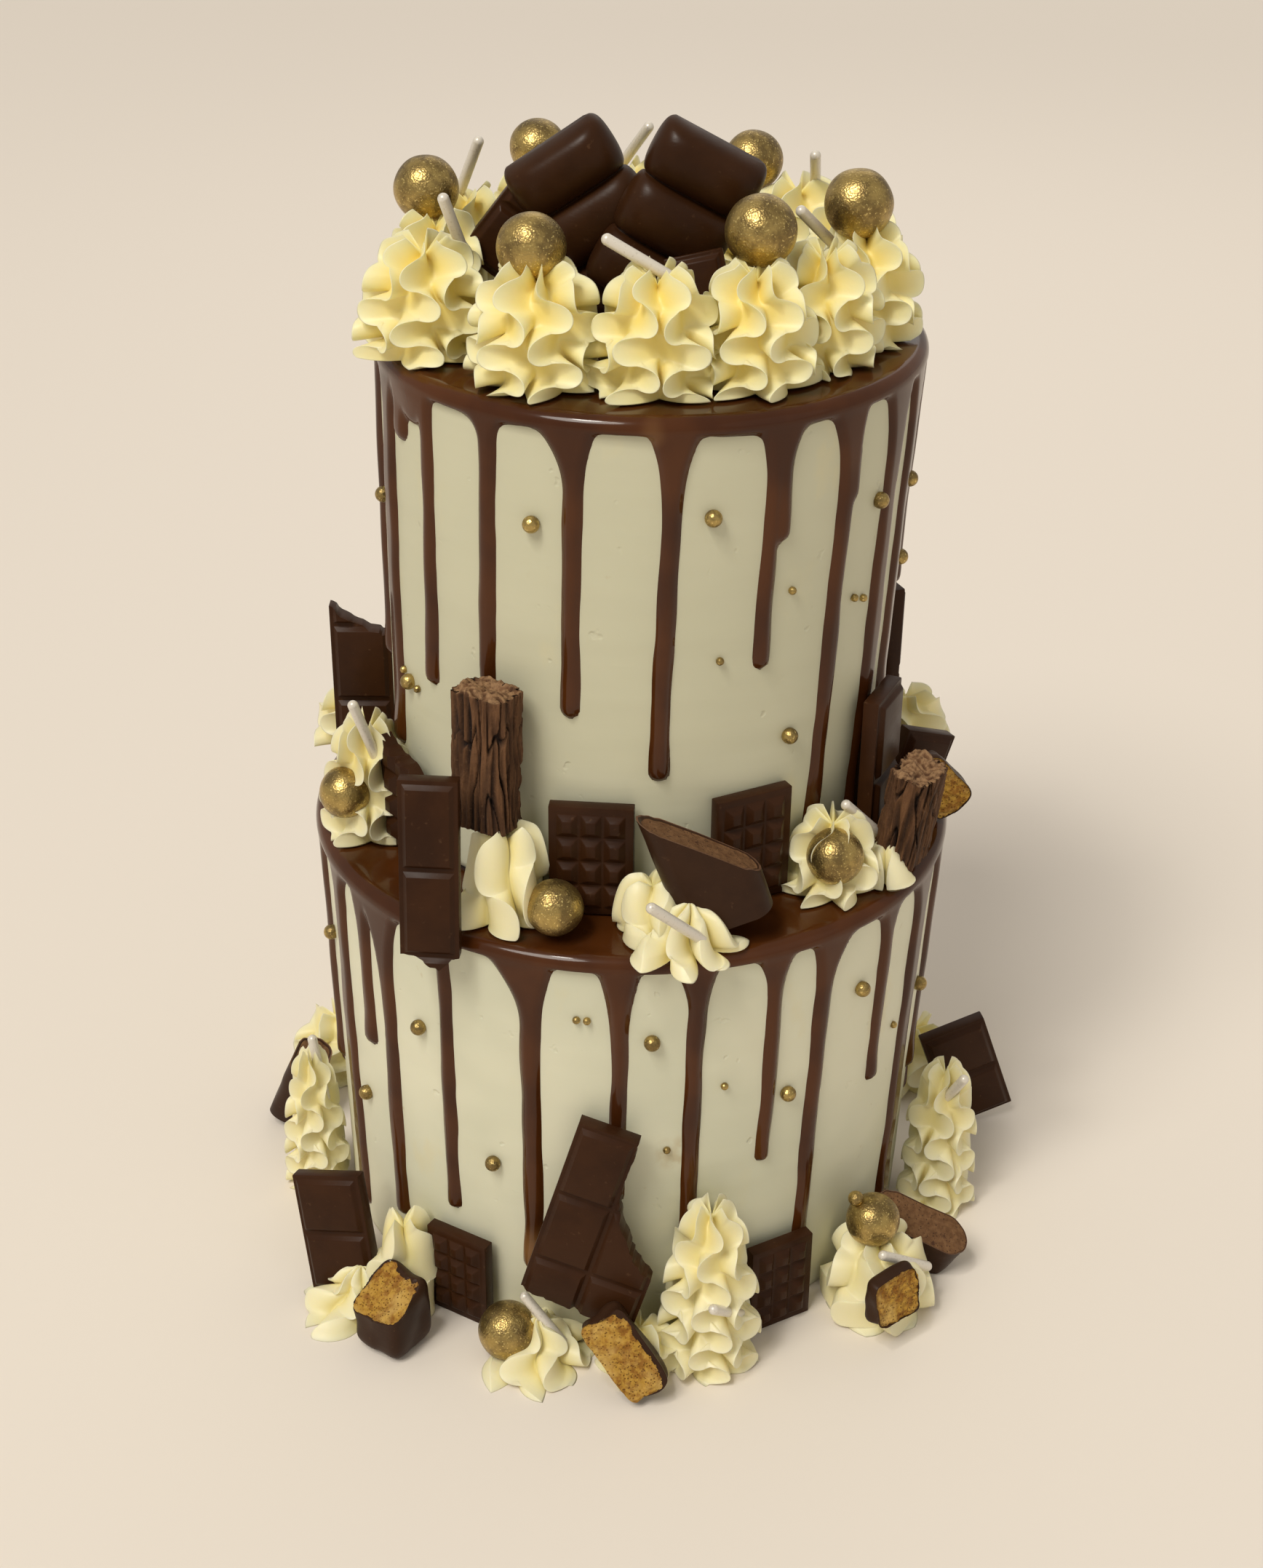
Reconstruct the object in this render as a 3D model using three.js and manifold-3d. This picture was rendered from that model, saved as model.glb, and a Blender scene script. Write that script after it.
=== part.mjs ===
// A two-tier drip cake: frosted tiers, chocolate glaze that runs down them, piped cream and sweets.
// Millimetres, +Z up. The origin is the middle of the flat underside, and the front faces -Y.
// Angles are degrees round the cake, 0 at the front and +90 at the right.
import * as THREE from "three";
import { mergeVertices } from "three/addons/utils/BufferGeometryUtils.js";
import Module from "manifold-3d";

const wasm = await Module();
wasm.setup();

// Driving sizes
const GAP = 0.3;
const WALL_SIDES = 36;
const EDGE = 3;
const GLAZE = 2;
const DRIP = 2;
const DRIP_BACK = 1;
const WALL_SPACE = DRIP_BACK + DRIP + 3 * GAP;
const RIM_HIDE = 0.8;
const RIM_OUT = 0.5;
const ROUND_HOLLOW = 1.24;
const CREAM_HOLLOW = 0.54;
const LOWER = { z0: 0, z1: 159.8, r0: 103.6, r1: 109.3, x0: 0, x1: 1.9, y: 0 };
const UPPER = { z0: 160.1, z1: 327, r0: 83, r1: 87, x0: 1.9, x1: 6.5, y: 4.8 };
const PEARL = 2.7;
const SPECK = 1.3;
const PEARL_PROUD = 0.45;
const BALL_GROW = 1.03;
const ROD = { radius: 1.8, length: 25, inside: 5 };
const SUNK = 0.5;
const MINI = {
  wide: 27,
  tall: 39,
  thick: 6.4,
  across: 3,
  up: 4,
  border: 2.2,
  raise: 1.9,
  groove: 0.7,
  slope: 2,
};
const SLAB = { thick: 7, raise: 1.7, groove: 1.4, slope: 1.3, border: 0.6 };
const LOBED = { lobes: 3, pitch: 19, long: 36, thick: 12, back: 3.5 };
const FLAKE = { wide: 20, deep: 15, sides: 18 };

// Small helpers
const rad = THREE.MathUtils.degToRad;
const lerp = THREE.MathUtils.lerp;

function randomFrom(seed) {
  let state = seed;
  return () => {
    state = (state * 1664525 + 1013904223) % 4294967296;
    return state / 4294967296;
  };
}

function solidOf(geometry) {
  const bare = geometry.clone();
  bare.deleteAttribute("normal");
  bare.deleteAttribute("uv");
  const merged = mergeVertices(bare, 1e-3);
  return new wasm.Manifold(
    new wasm.Mesh({
      numProp: 3,
      vertProperties: merged.attributes.position.array,
      triVerts: new Uint32Array(merged.index.array),
    }),
  );
}

function geometryOf(solid) {
  const mesh = solid.getMesh();
  const geometry = new THREE.BufferGeometry();
  geometry.setAttribute("position", new THREE.BufferAttribute(mesh.vertProperties, 3));
  geometry.setIndex(new THREE.BufferAttribute(mesh.triVerts, 1));
  return geometry;
}

function moveVertices(geometry, rule) {
  const at = geometry.attributes.position;
  const point = new THREE.Vector3();
  for (let i = 0; i < at.count; i++) {
    point.fromBufferAttribute(at, i);
    rule(point, i);
    at.setXYZ(i, point.x, point.y, point.z);
  }
  return geometry;
}

function joined(solids) {
  return solids.reduce((whole, next) => whole.add(next));
}

// Where the wall of a tier is
function wallRadius(tier, z) {
  return lerp(tier.r0, tier.r1, (z - tier.z0) / (tier.z1 - tier.z0));
}

function axisAt(tier, z) {
  return new THREE.Vector2(lerp(tier.x0, tier.x1, (z - tier.z0) / (tier.z1 - tier.z0)), tier.y);
}

function onWall(tier, degrees, z, out) {
  const axis = axisAt(tier, z);
  const r = wallRadius(tier, z) + out;
  return new THREE.Vector3(axis.x + r * Math.sin(rad(degrees)), axis.y - r * Math.cos(rad(degrees)), z);
}

// A tier's frosted body, or a space that is larger than it all round
function tierBody(tier, grow) {
  const top = tier.z1 - GLAZE - GAP + grow;
  const bottom = tier.z0 - grow;
  const profile = [
    [0, bottom],
    [wallRadius(tier, bottom) + grow, bottom],
    [wallRadius(tier, top) + grow, top - EDGE],
    [wallRadius(tier, top) + grow - EDGE, top],
    [0, top],
  ].map(([r, z]) => new THREE.Vector2(r, z));
  const body = new THREE.LatheGeometry(profile, WALL_SIDES).rotateX(Math.PI / 2);
  return moveVertices(body, (p) => {
    const axis = axisAt(tier, p.z);
    p.x += axis.x;
    p.y += axis.y;
  });
}

function pearl(tier, degrees, z, radius) {
  const centre = onWall(tier, degrees, z, radius * PEARL_PROUD);
  const Bead = radius > SPECK ? THREE.IcosahedronGeometry : THREE.OctahedronGeometry;
  return new Bead(radius, 0).translate(centre.x, centre.y, centre.z);
}

function tierSolid(tier, pearls) {
  const beads = pearls.map(([degrees, z, radius]) => solidOf(pearl(tier, degrees, z, radius)));
  return joined([solidOf(tierBody(tier, 0)), ...beads]);
}

// One run of glaze: its outline is drawn flat, given a thickness, and wrapped round the wall
function dripShape(tier, drip) {
  const { wide, end, left, right, drop } = drip;
  const top = tier.z1 - GLAZE - EDGE + RIM_HIDE;
  const half = wide / 2;
  const shape = new THREE.Shape();
  shape.moveTo(-half - left, top);
  shape.lineTo(-half, top - drop * 0.8);
  shape.lineTo(-half * 0.95, end + half * 0.9);
  shape.lineTo(-half * 0.4, end);
  shape.lineTo(half * 0.4, end);
  shape.lineTo(half * 0.95, end + half * 0.9);
  shape.lineTo(half, top - drop * 0.8);
  shape.lineTo(half + right, top);
  return shape;
}

function dripSolid(tier, drip) {
  const body = new THREE.ExtrudeGeometry(dripShape(tier, drip), {
    depth: DRIP,
    bevelEnabled: false,
  });
  return solidOf(
    moveVertices(body, (p) => {
      const turn = THREE.MathUtils.radToDeg(p.x / wallRadius(tier, p.y));
      p.copy(onWall(tier, drip.at + turn, p.y, p.z + DRIP_BACK));
    }),
  );
}

function glazeSolid(tier, drips) {
  const rim = wallRadius(tier, tier.z1);
  const profile = [
    [0, tier.z1 - GLAZE],
    [rim - EDGE, tier.z1 - GLAZE],
    [rim + GAP, tier.z1 - GLAZE - EDGE],
    [rim + DRIP_BACK + DRIP + RIM_OUT, tier.z1 - GLAZE - EDGE],
    [rim + DRIP_BACK + DRIP + RIM_OUT, tier.z1 - EDGE],
    [rim - EDGE, tier.z1],
    [0, tier.z1],
  ].map(([r, z]) => new THREE.Vector2(r, z));
  const axis = axisAt(tier, tier.z1);
  const cap = new THREE.LatheGeometry(profile, WALL_SIDES).rotateX(Math.PI / 2);
  cap.translate(axis.x, axis.y, 0);
  const runs = drips.map((drip) => dripSolid(tier, drip));
  return joined([solidOf(cap), ...runs]);
}

// The drips that no reading gives, at the back, keep the front's spacing and spread of lengths
function backDrips(from, to, step, ends, seed) {
  const random = randomFrom(seed);
  const drips = [];
  for (let at = from; at <= to; at += step) {
    drips.push({
      at: at + (random() - 0.5) * 4,
      wide: 5 + random() * 2.5,
      end: lerp(ends[0], ends[1], random()),
      left: 4 + random() * 8,
      right: 4 + random() * 8,
      drop: 10 + random() * 14,
    });
  }
  return drips;
}

function drip(at, wide, end, left, right, drop) {
  return { at, wide, end, left, right, drop };
}

const LOWER_DRIPS = [
  drip(-90, 6, 40, 5, 6, 14),
  drip(-77, 6, 60, 5, 5, 14),
  drip(-65, 9, 8, 5, 7, 12),
  drip(-55, 7, 92, 5, 3, 20),
  drip(-48.4, 7, 24, 11, 7, 30),
  drip(-33.8, 5.6, 42, 6, 6, 10),
  drip(-17, 6.8, 25, 16, 6, 26),
  drip(-1.6, 5.4, 60, 6, 5, 26),
  drip(11.5, 6, 20, 7, 5, 18),
  drip(25.6, 5.3, 70, 8, 7, 16),
  drip(35.7, 6.6, 20, 4, 12, 22),
  drip(51.6, 6.5, 82, 6, 6, 16),
  drip(64.7, 10, 12, 7, 6, 18),
  drip(76.5, 6.5, 58, 5, 5, 14),
  drip(89, 6, 30, 5, 8, 14),
  ...backDrips(103, 260, 17.3, [12, 95], 5),
];
const UPPER_DRIPS = [
  drip(-82, 8, 215, 5, 5, 14),
  drip(-69.5, 10, 190, 7, 7, 16),
  drip(-61.5, 9, 302, 5, 5, 14),
  drip(-56, 13, 310, 6, 4, 8),
  drip(-51.2, 6.4, 224, 4, 2, 14),
  drip(-34, 6.6, 232, 12, 6, 10),
  drip(-14.9, 5.8, 227, 14, 5, 20),
  drip(4.5, 6, 206, 6, 7, 22),
  drip(25.5, 5.4, 242, 6, 3, 18),
  drip(27.6, 6, 284, 3, 6, 16),
  drip(44.2, 7, 172, 9, 2, 22),
  drip(45.8, 6, 291, 3, 3, 12),
  drip(61.5, 9.4, 168, 8, 5, 24),
  drip(73, 8.5, 205, 5, 5, 22),
  drip(85.5, 6.5, 240, 5, 5, 14),
  ...backDrips(101, 264, 20, [190, 285], 11),
];

// Gold pearls on the walls: angle, height and size
const LOWER_PEARLS = [
  [-73.2, 118, PEARL],
  [-58.4, 67, PEARL],
  [-39.7, 114.5, PEARL],
  [-24.5, 69, PEARL],
  [-8.9, 134.7, SPECK],
  [-7.1, 134.7, SPECK],
  [3.9, 127, PEARL],
  [7.2, 82, SPECK],
  [17, 106, SPECK],
  [29.5, 96.5, PEARL],
  [45, 127, PEARL],
  [58.5, 98, SPECK],
  [72, 100, PEARL],
];
const UPPER_PEARLS = [
  [-76, 276, PEARL],
  [-61.5, 218.5, PEARL],
  [-65, 220.5, SPECK],
  [-57.8, 218, SPECK],
  [-23.3, 290.5, PEARL],
  [12.7, 295, PEARL],
  [16.2, 247, SPECK],
  [31.6, 266.8, SPECK],
  [34.2, 215.5, PEARL],
  [50.8, 256, SPECK],
  [54.5, 254, SPECK],
  [56.3, 286.5, PEARL],
  [78, 282, PEARL],
  [79, 254, PEARL],
];

// At the back a pearl sits midway between every second pair of drips
function backPearls(from, step, count, tier, seed) {
  const random = randomFrom(seed);
  return Array.from({ length: count }, (unused, i) => [
    from + i * step,
    lerp(tier.z0 + 60, tier.z1 - 30, random()),
    PEARL,
  ]);
}

// Piped cream: ribs that fold left and right as they rise, in layers
const CREAM_FORMS = {
  mound: (t) => Math.pow(Math.max(0, 1 - Math.pow(t, 2.3)), 0.62),
  cone: (t) => Math.pow(Math.max(0, 1 - Math.pow(t, 3)), 0.55),
  star: (t) => Math.pow(Math.max(0, 1 - t), 0.9),
};

function creamSwirl({ form = "mound", radius, height, ribs = 6, rows = 4, depth = 0.24, twist = 0 }) {
  const outline = CREAM_FORMS[form];
  const profile = [new THREE.Vector2(0, 0)];
  for (let row = 0; row < rows; row++) {
    const t = (row + (row ? 0.25 : 0)) / rows;
    profile.push(new THREE.Vector2(radius * outline(t), height * t));
  }
  profile.push(new THREE.Vector2(0, height));
  const body = new THREE.LatheGeometry(profile, ribs * 2).rotateX(Math.PI / 2);
  const perColumn = profile.length;
  const fold = (Math.PI / ribs) * 0.8;
  return moveVertices(body, (p, i) => {
    const row = i % perColumn;
    const column = Math.floor(i / perColumn);
    const r = Math.hypot(p.x, p.y) * (column % 2 ? 1 - depth : 1);
    const sway = (row % 2 ? fold : -fold) * 0.5;
    const angle = Math.atan2(p.y, p.x) + sway + (twist * p.z) / height;
    p.x = r * Math.cos(angle);
    p.y = r * Math.sin(angle);
  });
}

function rodAt(from, to) {
  const start = new THREE.Vector3(...from);
  const along = new THREE.Vector3(...to).sub(start).normalize();
  const bar = new THREE.CapsuleGeometry(ROD.radius, ROD.length, 1, 5);
  bar.translate(0, ROD.length / 2 - ROD.inside, 0);
  bar.applyQuaternion(new THREE.Quaternion().setFromUnitVectors(new THREE.Vector3(0, 1, 0), along));
  return bar.translate(start.x, start.y, start.z);
}

// Moulded chocolate, standing on its lower edge with its face towards -Y
function block(wide, tall, thick) {
  return new THREE.BoxGeometry(wide, thick, tall).translate(0, 0, tall / 2);
}

function raisedSegment(wide, tall, raise, slope) {
  return moveVertices(new THREE.BoxGeometry(wide, 1, tall), (p) => {
    const inset = p.y < 0 ? slope : 0;
    p.set(p.x - Math.sign(p.x) * inset, p.y < 0 ? -raise : SUNK, p.z - Math.sign(p.z) * inset);
  });
}

function segmentedBar({ across, up, cellWide, cellTall, thick, raise, groove, slope, border }) {
  const wide = across * cellWide + 2 * border;
  const tall = up * cellTall + 2 * border;
  const cells = [];
  for (let i = 0; i < across; i++) {
    for (let j = 0; j < up; j++) {
      const cell = raisedSegment(cellWide - groove, cellTall - groove, raise, slope);
      const x = (i + 0.5) * cellWide - wide / 2 + border;
      const z = (j + 0.5) * cellTall + border;
      cells.push(solidOf(cell.translate(x, -thick / 2, z)));
    }
  }
  return joined([solidOf(block(wide, tall, thick)), ...cells]);
}

function miniBar(size = 1) {
  const wide = MINI.wide * size;
  const tall = MINI.tall * size;
  return segmentedBar({
    across: MINI.across,
    up: MINI.up,
    cellWide: (wide - 2 * MINI.border) / MINI.across,
    cellTall: (tall - 2 * MINI.border) / MINI.up,
    thick: MINI.thick - MINI.raise,
    raise: MINI.raise,
    groove: MINI.groove,
    slope: MINI.slope * size,
    border: MINI.border,
  });
}

function slabPiece(across, up, cellWide, cellTall) {
  const { raise, groove, slope, border } = SLAB;
  const thick = SLAB.thick - raise;
  return segmentedBar({ across, up, cellWide, cellTall, thick, raise, groove, slope, border });
}

// Keeps only what lies inside an outline that is drawn on the face, as a break leaves it
function brokenTo(solid, points) {
  const outline = new THREE.Shape(points.map(([x, z]) => new THREE.Vector2(x, z)));
  const cutter = new THREE.ExtrudeGeometry(outline, { depth: 40, bevelEnabled: false });
  return solid.intersect(solidOf(cutter.rotateX(Math.PI / 2).translate(0, 20, 0)));
}

// A bar of domed lobes stacked across its length, its origin at its middle
function lobedBar() {
  const { lobes, pitch, long, thick, back } = LOBED;
  const side = (lobes * pitch) / 2;
  const section = new THREE.Shape();
  section.moveTo(0, -side);
  for (let i = 0; i < lobes; i++) {
    const foot = i * pitch - side;
    section.lineTo(-back, foot + (i ? 0 : 0.5));
    for (const [up, out] of [[0.14, 0.66], [0.36, 0.96], [0.64, 0.96], [0.86, 0.66]]) {
      section.lineTo(-back - (thick - back) * out, foot + pitch * up);
    }
  }
  section.lineTo(-back, side - 0.5);
  section.lineTo(0, side);
  const body = new THREE.ExtrudeGeometry(section, { depth: long, bevelEnabled: false, steps: 4 });
  body.translate(0, 0, -long / 2);
  moveVertices(body, (p) => {
    const reach = Math.abs(p.z) / (long / 2);
    p.z *= reach > 0.4 && reach < 0.6 ? 1.7 : 1;
    p.x *= reach > 0.9 ? 0.6 : 1;
    p.y *= reach > 0.9 ? 0.96 : 1;
  });
  return solidOf(body.rotateX(Math.PI / 2).rotateZ(Math.PI / 2));
}

// A stick of folded chocolate flakes: a ragged section, run along its length
function flakeStick(tall, seed) {
  const random = randomFrom(seed);
  const outline = new THREE.Shape();
  const corner = (angle) => 1 / Math.max(Math.abs(Math.cos(angle)), Math.abs(Math.sin(angle)));
  for (let i = 0; i < FLAKE.sides; i++) {
    const angle = (i / FLAKE.sides) * 2 * Math.PI;
    const notch = i % 2 ? 0.88 - random() * 0.08 : 0.97 + random() * 0.06;
    const reach = Math.min(corner(angle), 1.22) * notch;
    const x = (FLAKE.wide / 2) * reach * Math.cos(angle);
    const y = (FLAKE.deep / 2) * reach * Math.sin(angle);
    if (i) outline.lineTo(x, y);
    else outline.moveTo(x, y);
  }
  const body = new THREE.ExtrudeGeometry(outline, { depth: tall, bevelEnabled: false, steps: 2 });
  return solidOf(
    moveVertices(body, (p) => {
      const waist = 1 - 0.05 * Math.sin((p.z / tall) * Math.PI);
      p.x *= waist;
      if (p.z > tall - 0.1) p.z += 2.4 * Math.sin(p.x * 0.5) - 0.1 * p.y;
    }),
  );
}

// A wedge cut from a bar: a long rounded section that narrows away from its cut face
function mousseBar({ wide, thick, tall, narrow = 0.72, slant = 0 }) {
  const section = new THREE.Shape();
  const end = thick / 2;
  section.moveTo(-wide / 2 + end, -end);
  section.lineTo(wide / 2 - end, -end);
  section.absellipse(wide / 2 - end, 0, end, end, -Math.PI / 2, Math.PI / 2, false, 0);
  section.lineTo(-wide / 2 + end, end);
  section.absellipse(-wide / 2 + end, 0, end, end, Math.PI / 2, (3 * Math.PI) / 2, false, 0);
  const body = new THREE.ExtrudeGeometry(section, {
    depth: tall,
    bevelEnabled: false,
    curveSegments: 4,
    steps: 2,
  });
  return solidOf(
    moveVertices(body, (p) => {
      const t = p.z / tall;
      const size = lerp(narrow, 1, Math.pow(t, 0.7));
      p.x *= size;
      p.y *= lerp(1.15, 1, t);
      p.z += slant * t * (p.x / wide);
    }),
  );
}

// A chunk of honeycomb toffee: an uneven block whose corners are knocked off
function honeycombChunk({ wide, thick, tall, seed }) {
  const random = randomFrom(seed);
  const sides = 7;
  const outline = new THREE.Shape();
  for (let i = 0; i < sides; i++) {
    const angle = ((i + 0.5 + (random() - 0.5) * 0.4) / sides) * 2 * Math.PI;
    const reach = 0.5 / Math.max(Math.abs(Math.cos(angle)), Math.abs(Math.sin(angle)), 0.78);
    const x = wide * reach * Math.cos(angle);
    const y = thick * reach * Math.sin(angle);
    if (i) outline.lineTo(x, y);
    else outline.moveTo(x, y);
  }
  const body = new THREE.ExtrudeGeometry(outline, {
    depth: tall - 3,
    bevelThickness: 1.5,
    bevelSize: 1.5,
    bevelOffset: -1.5,
    bevelSegments: 1,
    steps: 1,
  });
  body.translate(0, 0, 1.5);
  return solidOf(body);
}

// Looks that the sweets share
const looks = {
  cream: () => new THREE.MeshStandardMaterial({ color: "#f1e9bd", roughness: 0.55 }),
  frosting: () => new THREE.MeshStandardMaterial({ color: "#e6e0bd", roughness: 0.6 }),
  glaze: () => new THREE.MeshStandardMaterial({ color: "#5b3322", roughness: 0.28 }),
  dark: () => new THREE.MeshStandardMaterial({ color: "#3a2219", roughness: 0.4 }),
  milk: () => new THREE.MeshStandardMaterial({ color: "#5a3a2b", roughness: 0.6 }),
  mousse: () => new THREE.MeshStandardMaterial({ color: "#4a3026", roughness: 0.7 }),
  honeycomb: () => new THREE.MeshStandardMaterial({ color: "#b9802f", roughness: 0.8 }),
  gold: () => new THREE.MeshStandardMaterial({ color: "#a98a4a", roughness: 0.35, metalness: 0.8 }),
};

// The cake's levels, each a group with its origin on its axis
const cake = new THREE.Group();
const levels = {};
for (const [level, x, y, z] of [
  ["base", LOWER.x0, LOWER.y, 0],
  ["ledge", LOWER.x1, LOWER.y, LOWER.z1 + GAP],
  ["top", UPPER.x1, UPPER.y, UPPER.z1 + GAP],
]) {
  levels[level] = new THREE.Group();
  levels[level].position.set(x, y, z);
  cake.add(levels[level]);
}

function addBody(name, solid, look) {
  const mesh = new THREE.Mesh(geometryOf(solid), look());
  mesh.name = name;
  cake.add(mesh);
  return mesh;
}

// Stands a piece on its level at an angle and a distance from the axis. It faces outwards, turned
// by turn, leant back by lean, tipped sideways by roll, and lifted by lift.
function addPiece(level, name, solid, look, { at, r, lift = 0, turn = 0, lean = 0, roll = 0 }) {
  const mesh = new THREE.Mesh(geometryOf(solid), look());
  mesh.name = name;
  mesh.rotation.set(rad(-lean), rad(roll), rad(at + turn), "ZXY");
  mesh.updateMatrix();
  const lowest = new THREE.Box3().setFromBufferAttribute(
    mesh.geometry.clone().applyMatrix4(mesh.matrix).attributes.position,
  ).min.z;
  mesh.position.set(r * Math.sin(rad(at)), -r * Math.cos(rad(at)), lift - lowest);
  levels[level].add(mesh);
  cake.updateMatrixWorld(true);
  return mesh;
}

// A plain shape that holds a pressed-in piece with a gap all round
function hollowFor(mesh) {
  mesh.geometry.computeBoundingBox();
  const size = mesh.geometry.boundingBox.getSize(new THREE.Vector3());
  const centre = mesh.geometry.boundingBox.getCenter(new THREE.Vector3());
  let hollow = new THREE.BoxGeometry(size.x + 2 * GAP, size.y + 2 * GAP, size.z + 2 * GAP);
  if (mesh.name.includes("ball")) hollow = new THREE.IcosahedronGeometry((size.x / 2) * ROUND_HOLLOW, 0);
  if (mesh.name.includes("cream")) {
    const reach = size.x * CREAM_HOLLOW;
    hollow = new THREE.CylinderGeometry(reach, reach, size.z + 1, 10).rotateX(Math.PI / 2);
  }
  return hollow.translate(centre.x, centre.y, centre.z).applyMatrix4(mesh.matrixWorld);
}

// Cuts a piece of cream back from what is pressed into it and from the wall behind it
function pressInto(cream, pressed, walls = []) {
  const toLocal = cream.matrixWorld.clone().invert();
  const hollows = [...pressed.map(hollowFor), ...walls];
  const solid = hollows.reduce(
    (left, hollow) => left.subtract(solidOf(hollow.clone().applyMatrix4(toLocal))),
    solidOf(cream.geometry),
  );
  const bodies = solid.decompose().sort((a, b) => b.volume() - a.volume());
  cream.geometry = geometryOf(bodies[0]);
}

// Where moulded bars are broken: the outline that is left, seen on the face
const SLAB_TOP_BREAK = [[-12, -1], [12, -1], [12, 53], [2, 56.5], [-5, 60.5], [-12, 66]];
const MINI_TOP_BREAK = [[-16, -1], [16, -1], [16, 26], [9, 29], [2, 34], [-6, 35], [-12, 38], [-16, 41]];
const SLAB_FOOT_BREAK = [
  [-1, 27], [3, 25], [7, 28.6], [12, 29.6], [12, 90], [-12, 90], [-12, 29.8], [-5, 29.2],
];
const SLAB_SIDE_BREAK = [[-23, 14], [23, 11], [23, 31], [13, 39], [5, 50], [0.8, 60], [0.4, 86], [-23, 86]];

// The two tiers and their glaze
const lowerTier = tierSolid(LOWER, [...LOWER_PEARLS, ...backPearls(111.6, 34.6, 5, LOWER, 3)]);
const upperTier = tierSolid(UPPER, [...UPPER_PEARLS, ...backPearls(111, 40, 4, UPPER, 8)]);
addBody("lower_tier", lowerTier, looks.frosting);
addBody("lower_glaze", glazeSolid(LOWER, LOWER_DRIPS), looks.glaze);
addBody("upper_tier", upperTier, looks.frosting);
addBody("upper_glaze", glazeSolid(UPPER, UPPER_DRIPS), looks.glaze);
const lowerWall = tierBody(LOWER, WALL_SPACE);
const upperWall = tierBody(UPPER, WALL_SPACE);

// Piped cream: each row is a node, made of one swirl or of a few that run into each other
function swirl(at, r, radius, height, more = {}) {
  return { at, r, radius, height, ...more };
}

function creamSolid(swirls) {
  return joined(
    swirls.map(({ at, r, lift = 0, ...sizes }) => {
      const body = creamSwirl(sizes).rotateZ(rad(at));
      return solidOf(body.translate(r * Math.sin(rad(at)), -r * Math.cos(rad(at)), lift));
    }),
  );
}

function addCream(level, name, swirls, rods = []) {
  const sticks = rods.map(([from, to]) => solidOf(rodAt(from, to)));
  const mesh = new THREE.Mesh(geometryOf(joined([creamSolid(swirls), ...sticks])), looks.cream());
  mesh.name = name;
  levels[level].add(mesh);
  cake.updateMatrixWorld(true);
  return mesh;
}

const ballSolid = (radius) => solidOf(new THREE.IcosahedronGeometry(radius * BALL_GROW, 1));

function addBall(level, name, at, r, z, radius) {
  return addPiece(level, name, ballSolid(radius), looks.gold, { at, r, lift: z - radius });
}

// The top: a ring of rosettes with balls in it, round two lobed bars and broken bits of bar
const TOP_ROSETTES = [
  swirl(-67, 75, 23, 36),
  swirl(-31, 66, 23, 37),
  swirl(1, 61, 22, 37),
  swirl(28, 64, 21, 37),
  swirl(55, 63, 20, 37),
  swirl(80, 67, 20, 37),
];
for (let at = 107; at < 275; at += 27) TOP_ROSETTES.push(swirl(at, 68, 20, 36, { ribs: 4, rows: 3 }));
const TOP_RODS = [
  [[-57.8, -24.4, 29.7], [-62.9, -33.8, 48.9]],
  [[-61.6, 33.6, 34.7], [-54.9, 22.5, 52.4]],
  [[3.7, -58.9, 32.7], [-15.6, -59.8, 44.2]],
  [[55.4, -8.1, 28.7], [43.8, -21, 42.4]],
  [[54.4, 50, 31.7], [52.6, 33.5, 45.9]],
  [[-9.6, 69.6, 33.7], [0, 56.7, 50]],
];
const TOP_BALLS = [
  [-98, 72, 39, 10.2],
  [-34.5, 63, 38, 10.6],
  [34, 56, 42, 11],
  [80, 64, 41, 10.6],
  [-148, 72, 40, 9.8],
  [150, 68, 37, 10.2],
];
const topRing = addCream("top", "top_cream_ring", TOP_ROSETTES, TOP_RODS);
const topBalls = TOP_BALLS.map(([at, r, z, radius], i) =>
  addBall("top", "top_ball_" + (i + 1), at, r, z, radius),
);
const topLeft = addPiece(
  "top",
  "top_lobed_bar_left",
  lobedBar(),
  looks.dark,
  { at: -90.7, r: 17.4, lift: 1.4, turn: 90.7, roll: -33 },
);
const topRight = addPiece(
  "top",
  "top_lobed_bar_right",
  lobedBar(),
  looks.dark,
  { at: 28.4, r: 14.5, lift: 4, turn: -28.4, roll: 28 },
);
const topBits = [
  addPiece(
    "top",
    "top_bar_bit_left",
    slabPiece(1, 2, 20, 20),
    looks.dark,
    { at: -95, r: 52.8, turn: 95, lift: 9, roll: 38 },
  ),
  addPiece(
    "top",
    "top_bar_bit_right",
    slabPiece(1, 1, 17, 29),
    looks.dark,
    { at: 25.7, r: 42, turn: -25.7, lean: 14, roll: -12 },
  ),
];
pressInto(topRing, [...topBalls, topLeft, topRight, ...topBits]);

// The ledge
const SLAB_TALL = [21.6, 28.5];
const SLAB_SMALL = [24.5, 21.5];
const ledgeSlabLeft = addPiece(
  "ledge",
  "ledge_slab_left",
  brokenTo(slabPiece(1, 3, 19.6, 28.5), SLAB_TOP_BREAK),
  looks.dark,
  { at: -97, r: 95, turn: 97 },
);
const ledgeLeft = addCream(
  "ledge",
  "ledge_cream_left",
  [swirl(-71, 94, 17, 44)],
  [[[-86.4, -37.2, 33.9], [-91.9, -43, 54.9]]],
);
const ledgeBallLeft = addBall("ledge", "ledge_ball_left", -69, 103, 17, 8.8);
const ledgeMiniBroken = addPiece(
  "ledge",
  "ledge_mini_bar_broken",
  brokenTo(miniBar(), MINI_TOP_BREAK),
  looks.dark,
  { at: -58, r: 87, turn: 6 },
);
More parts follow.
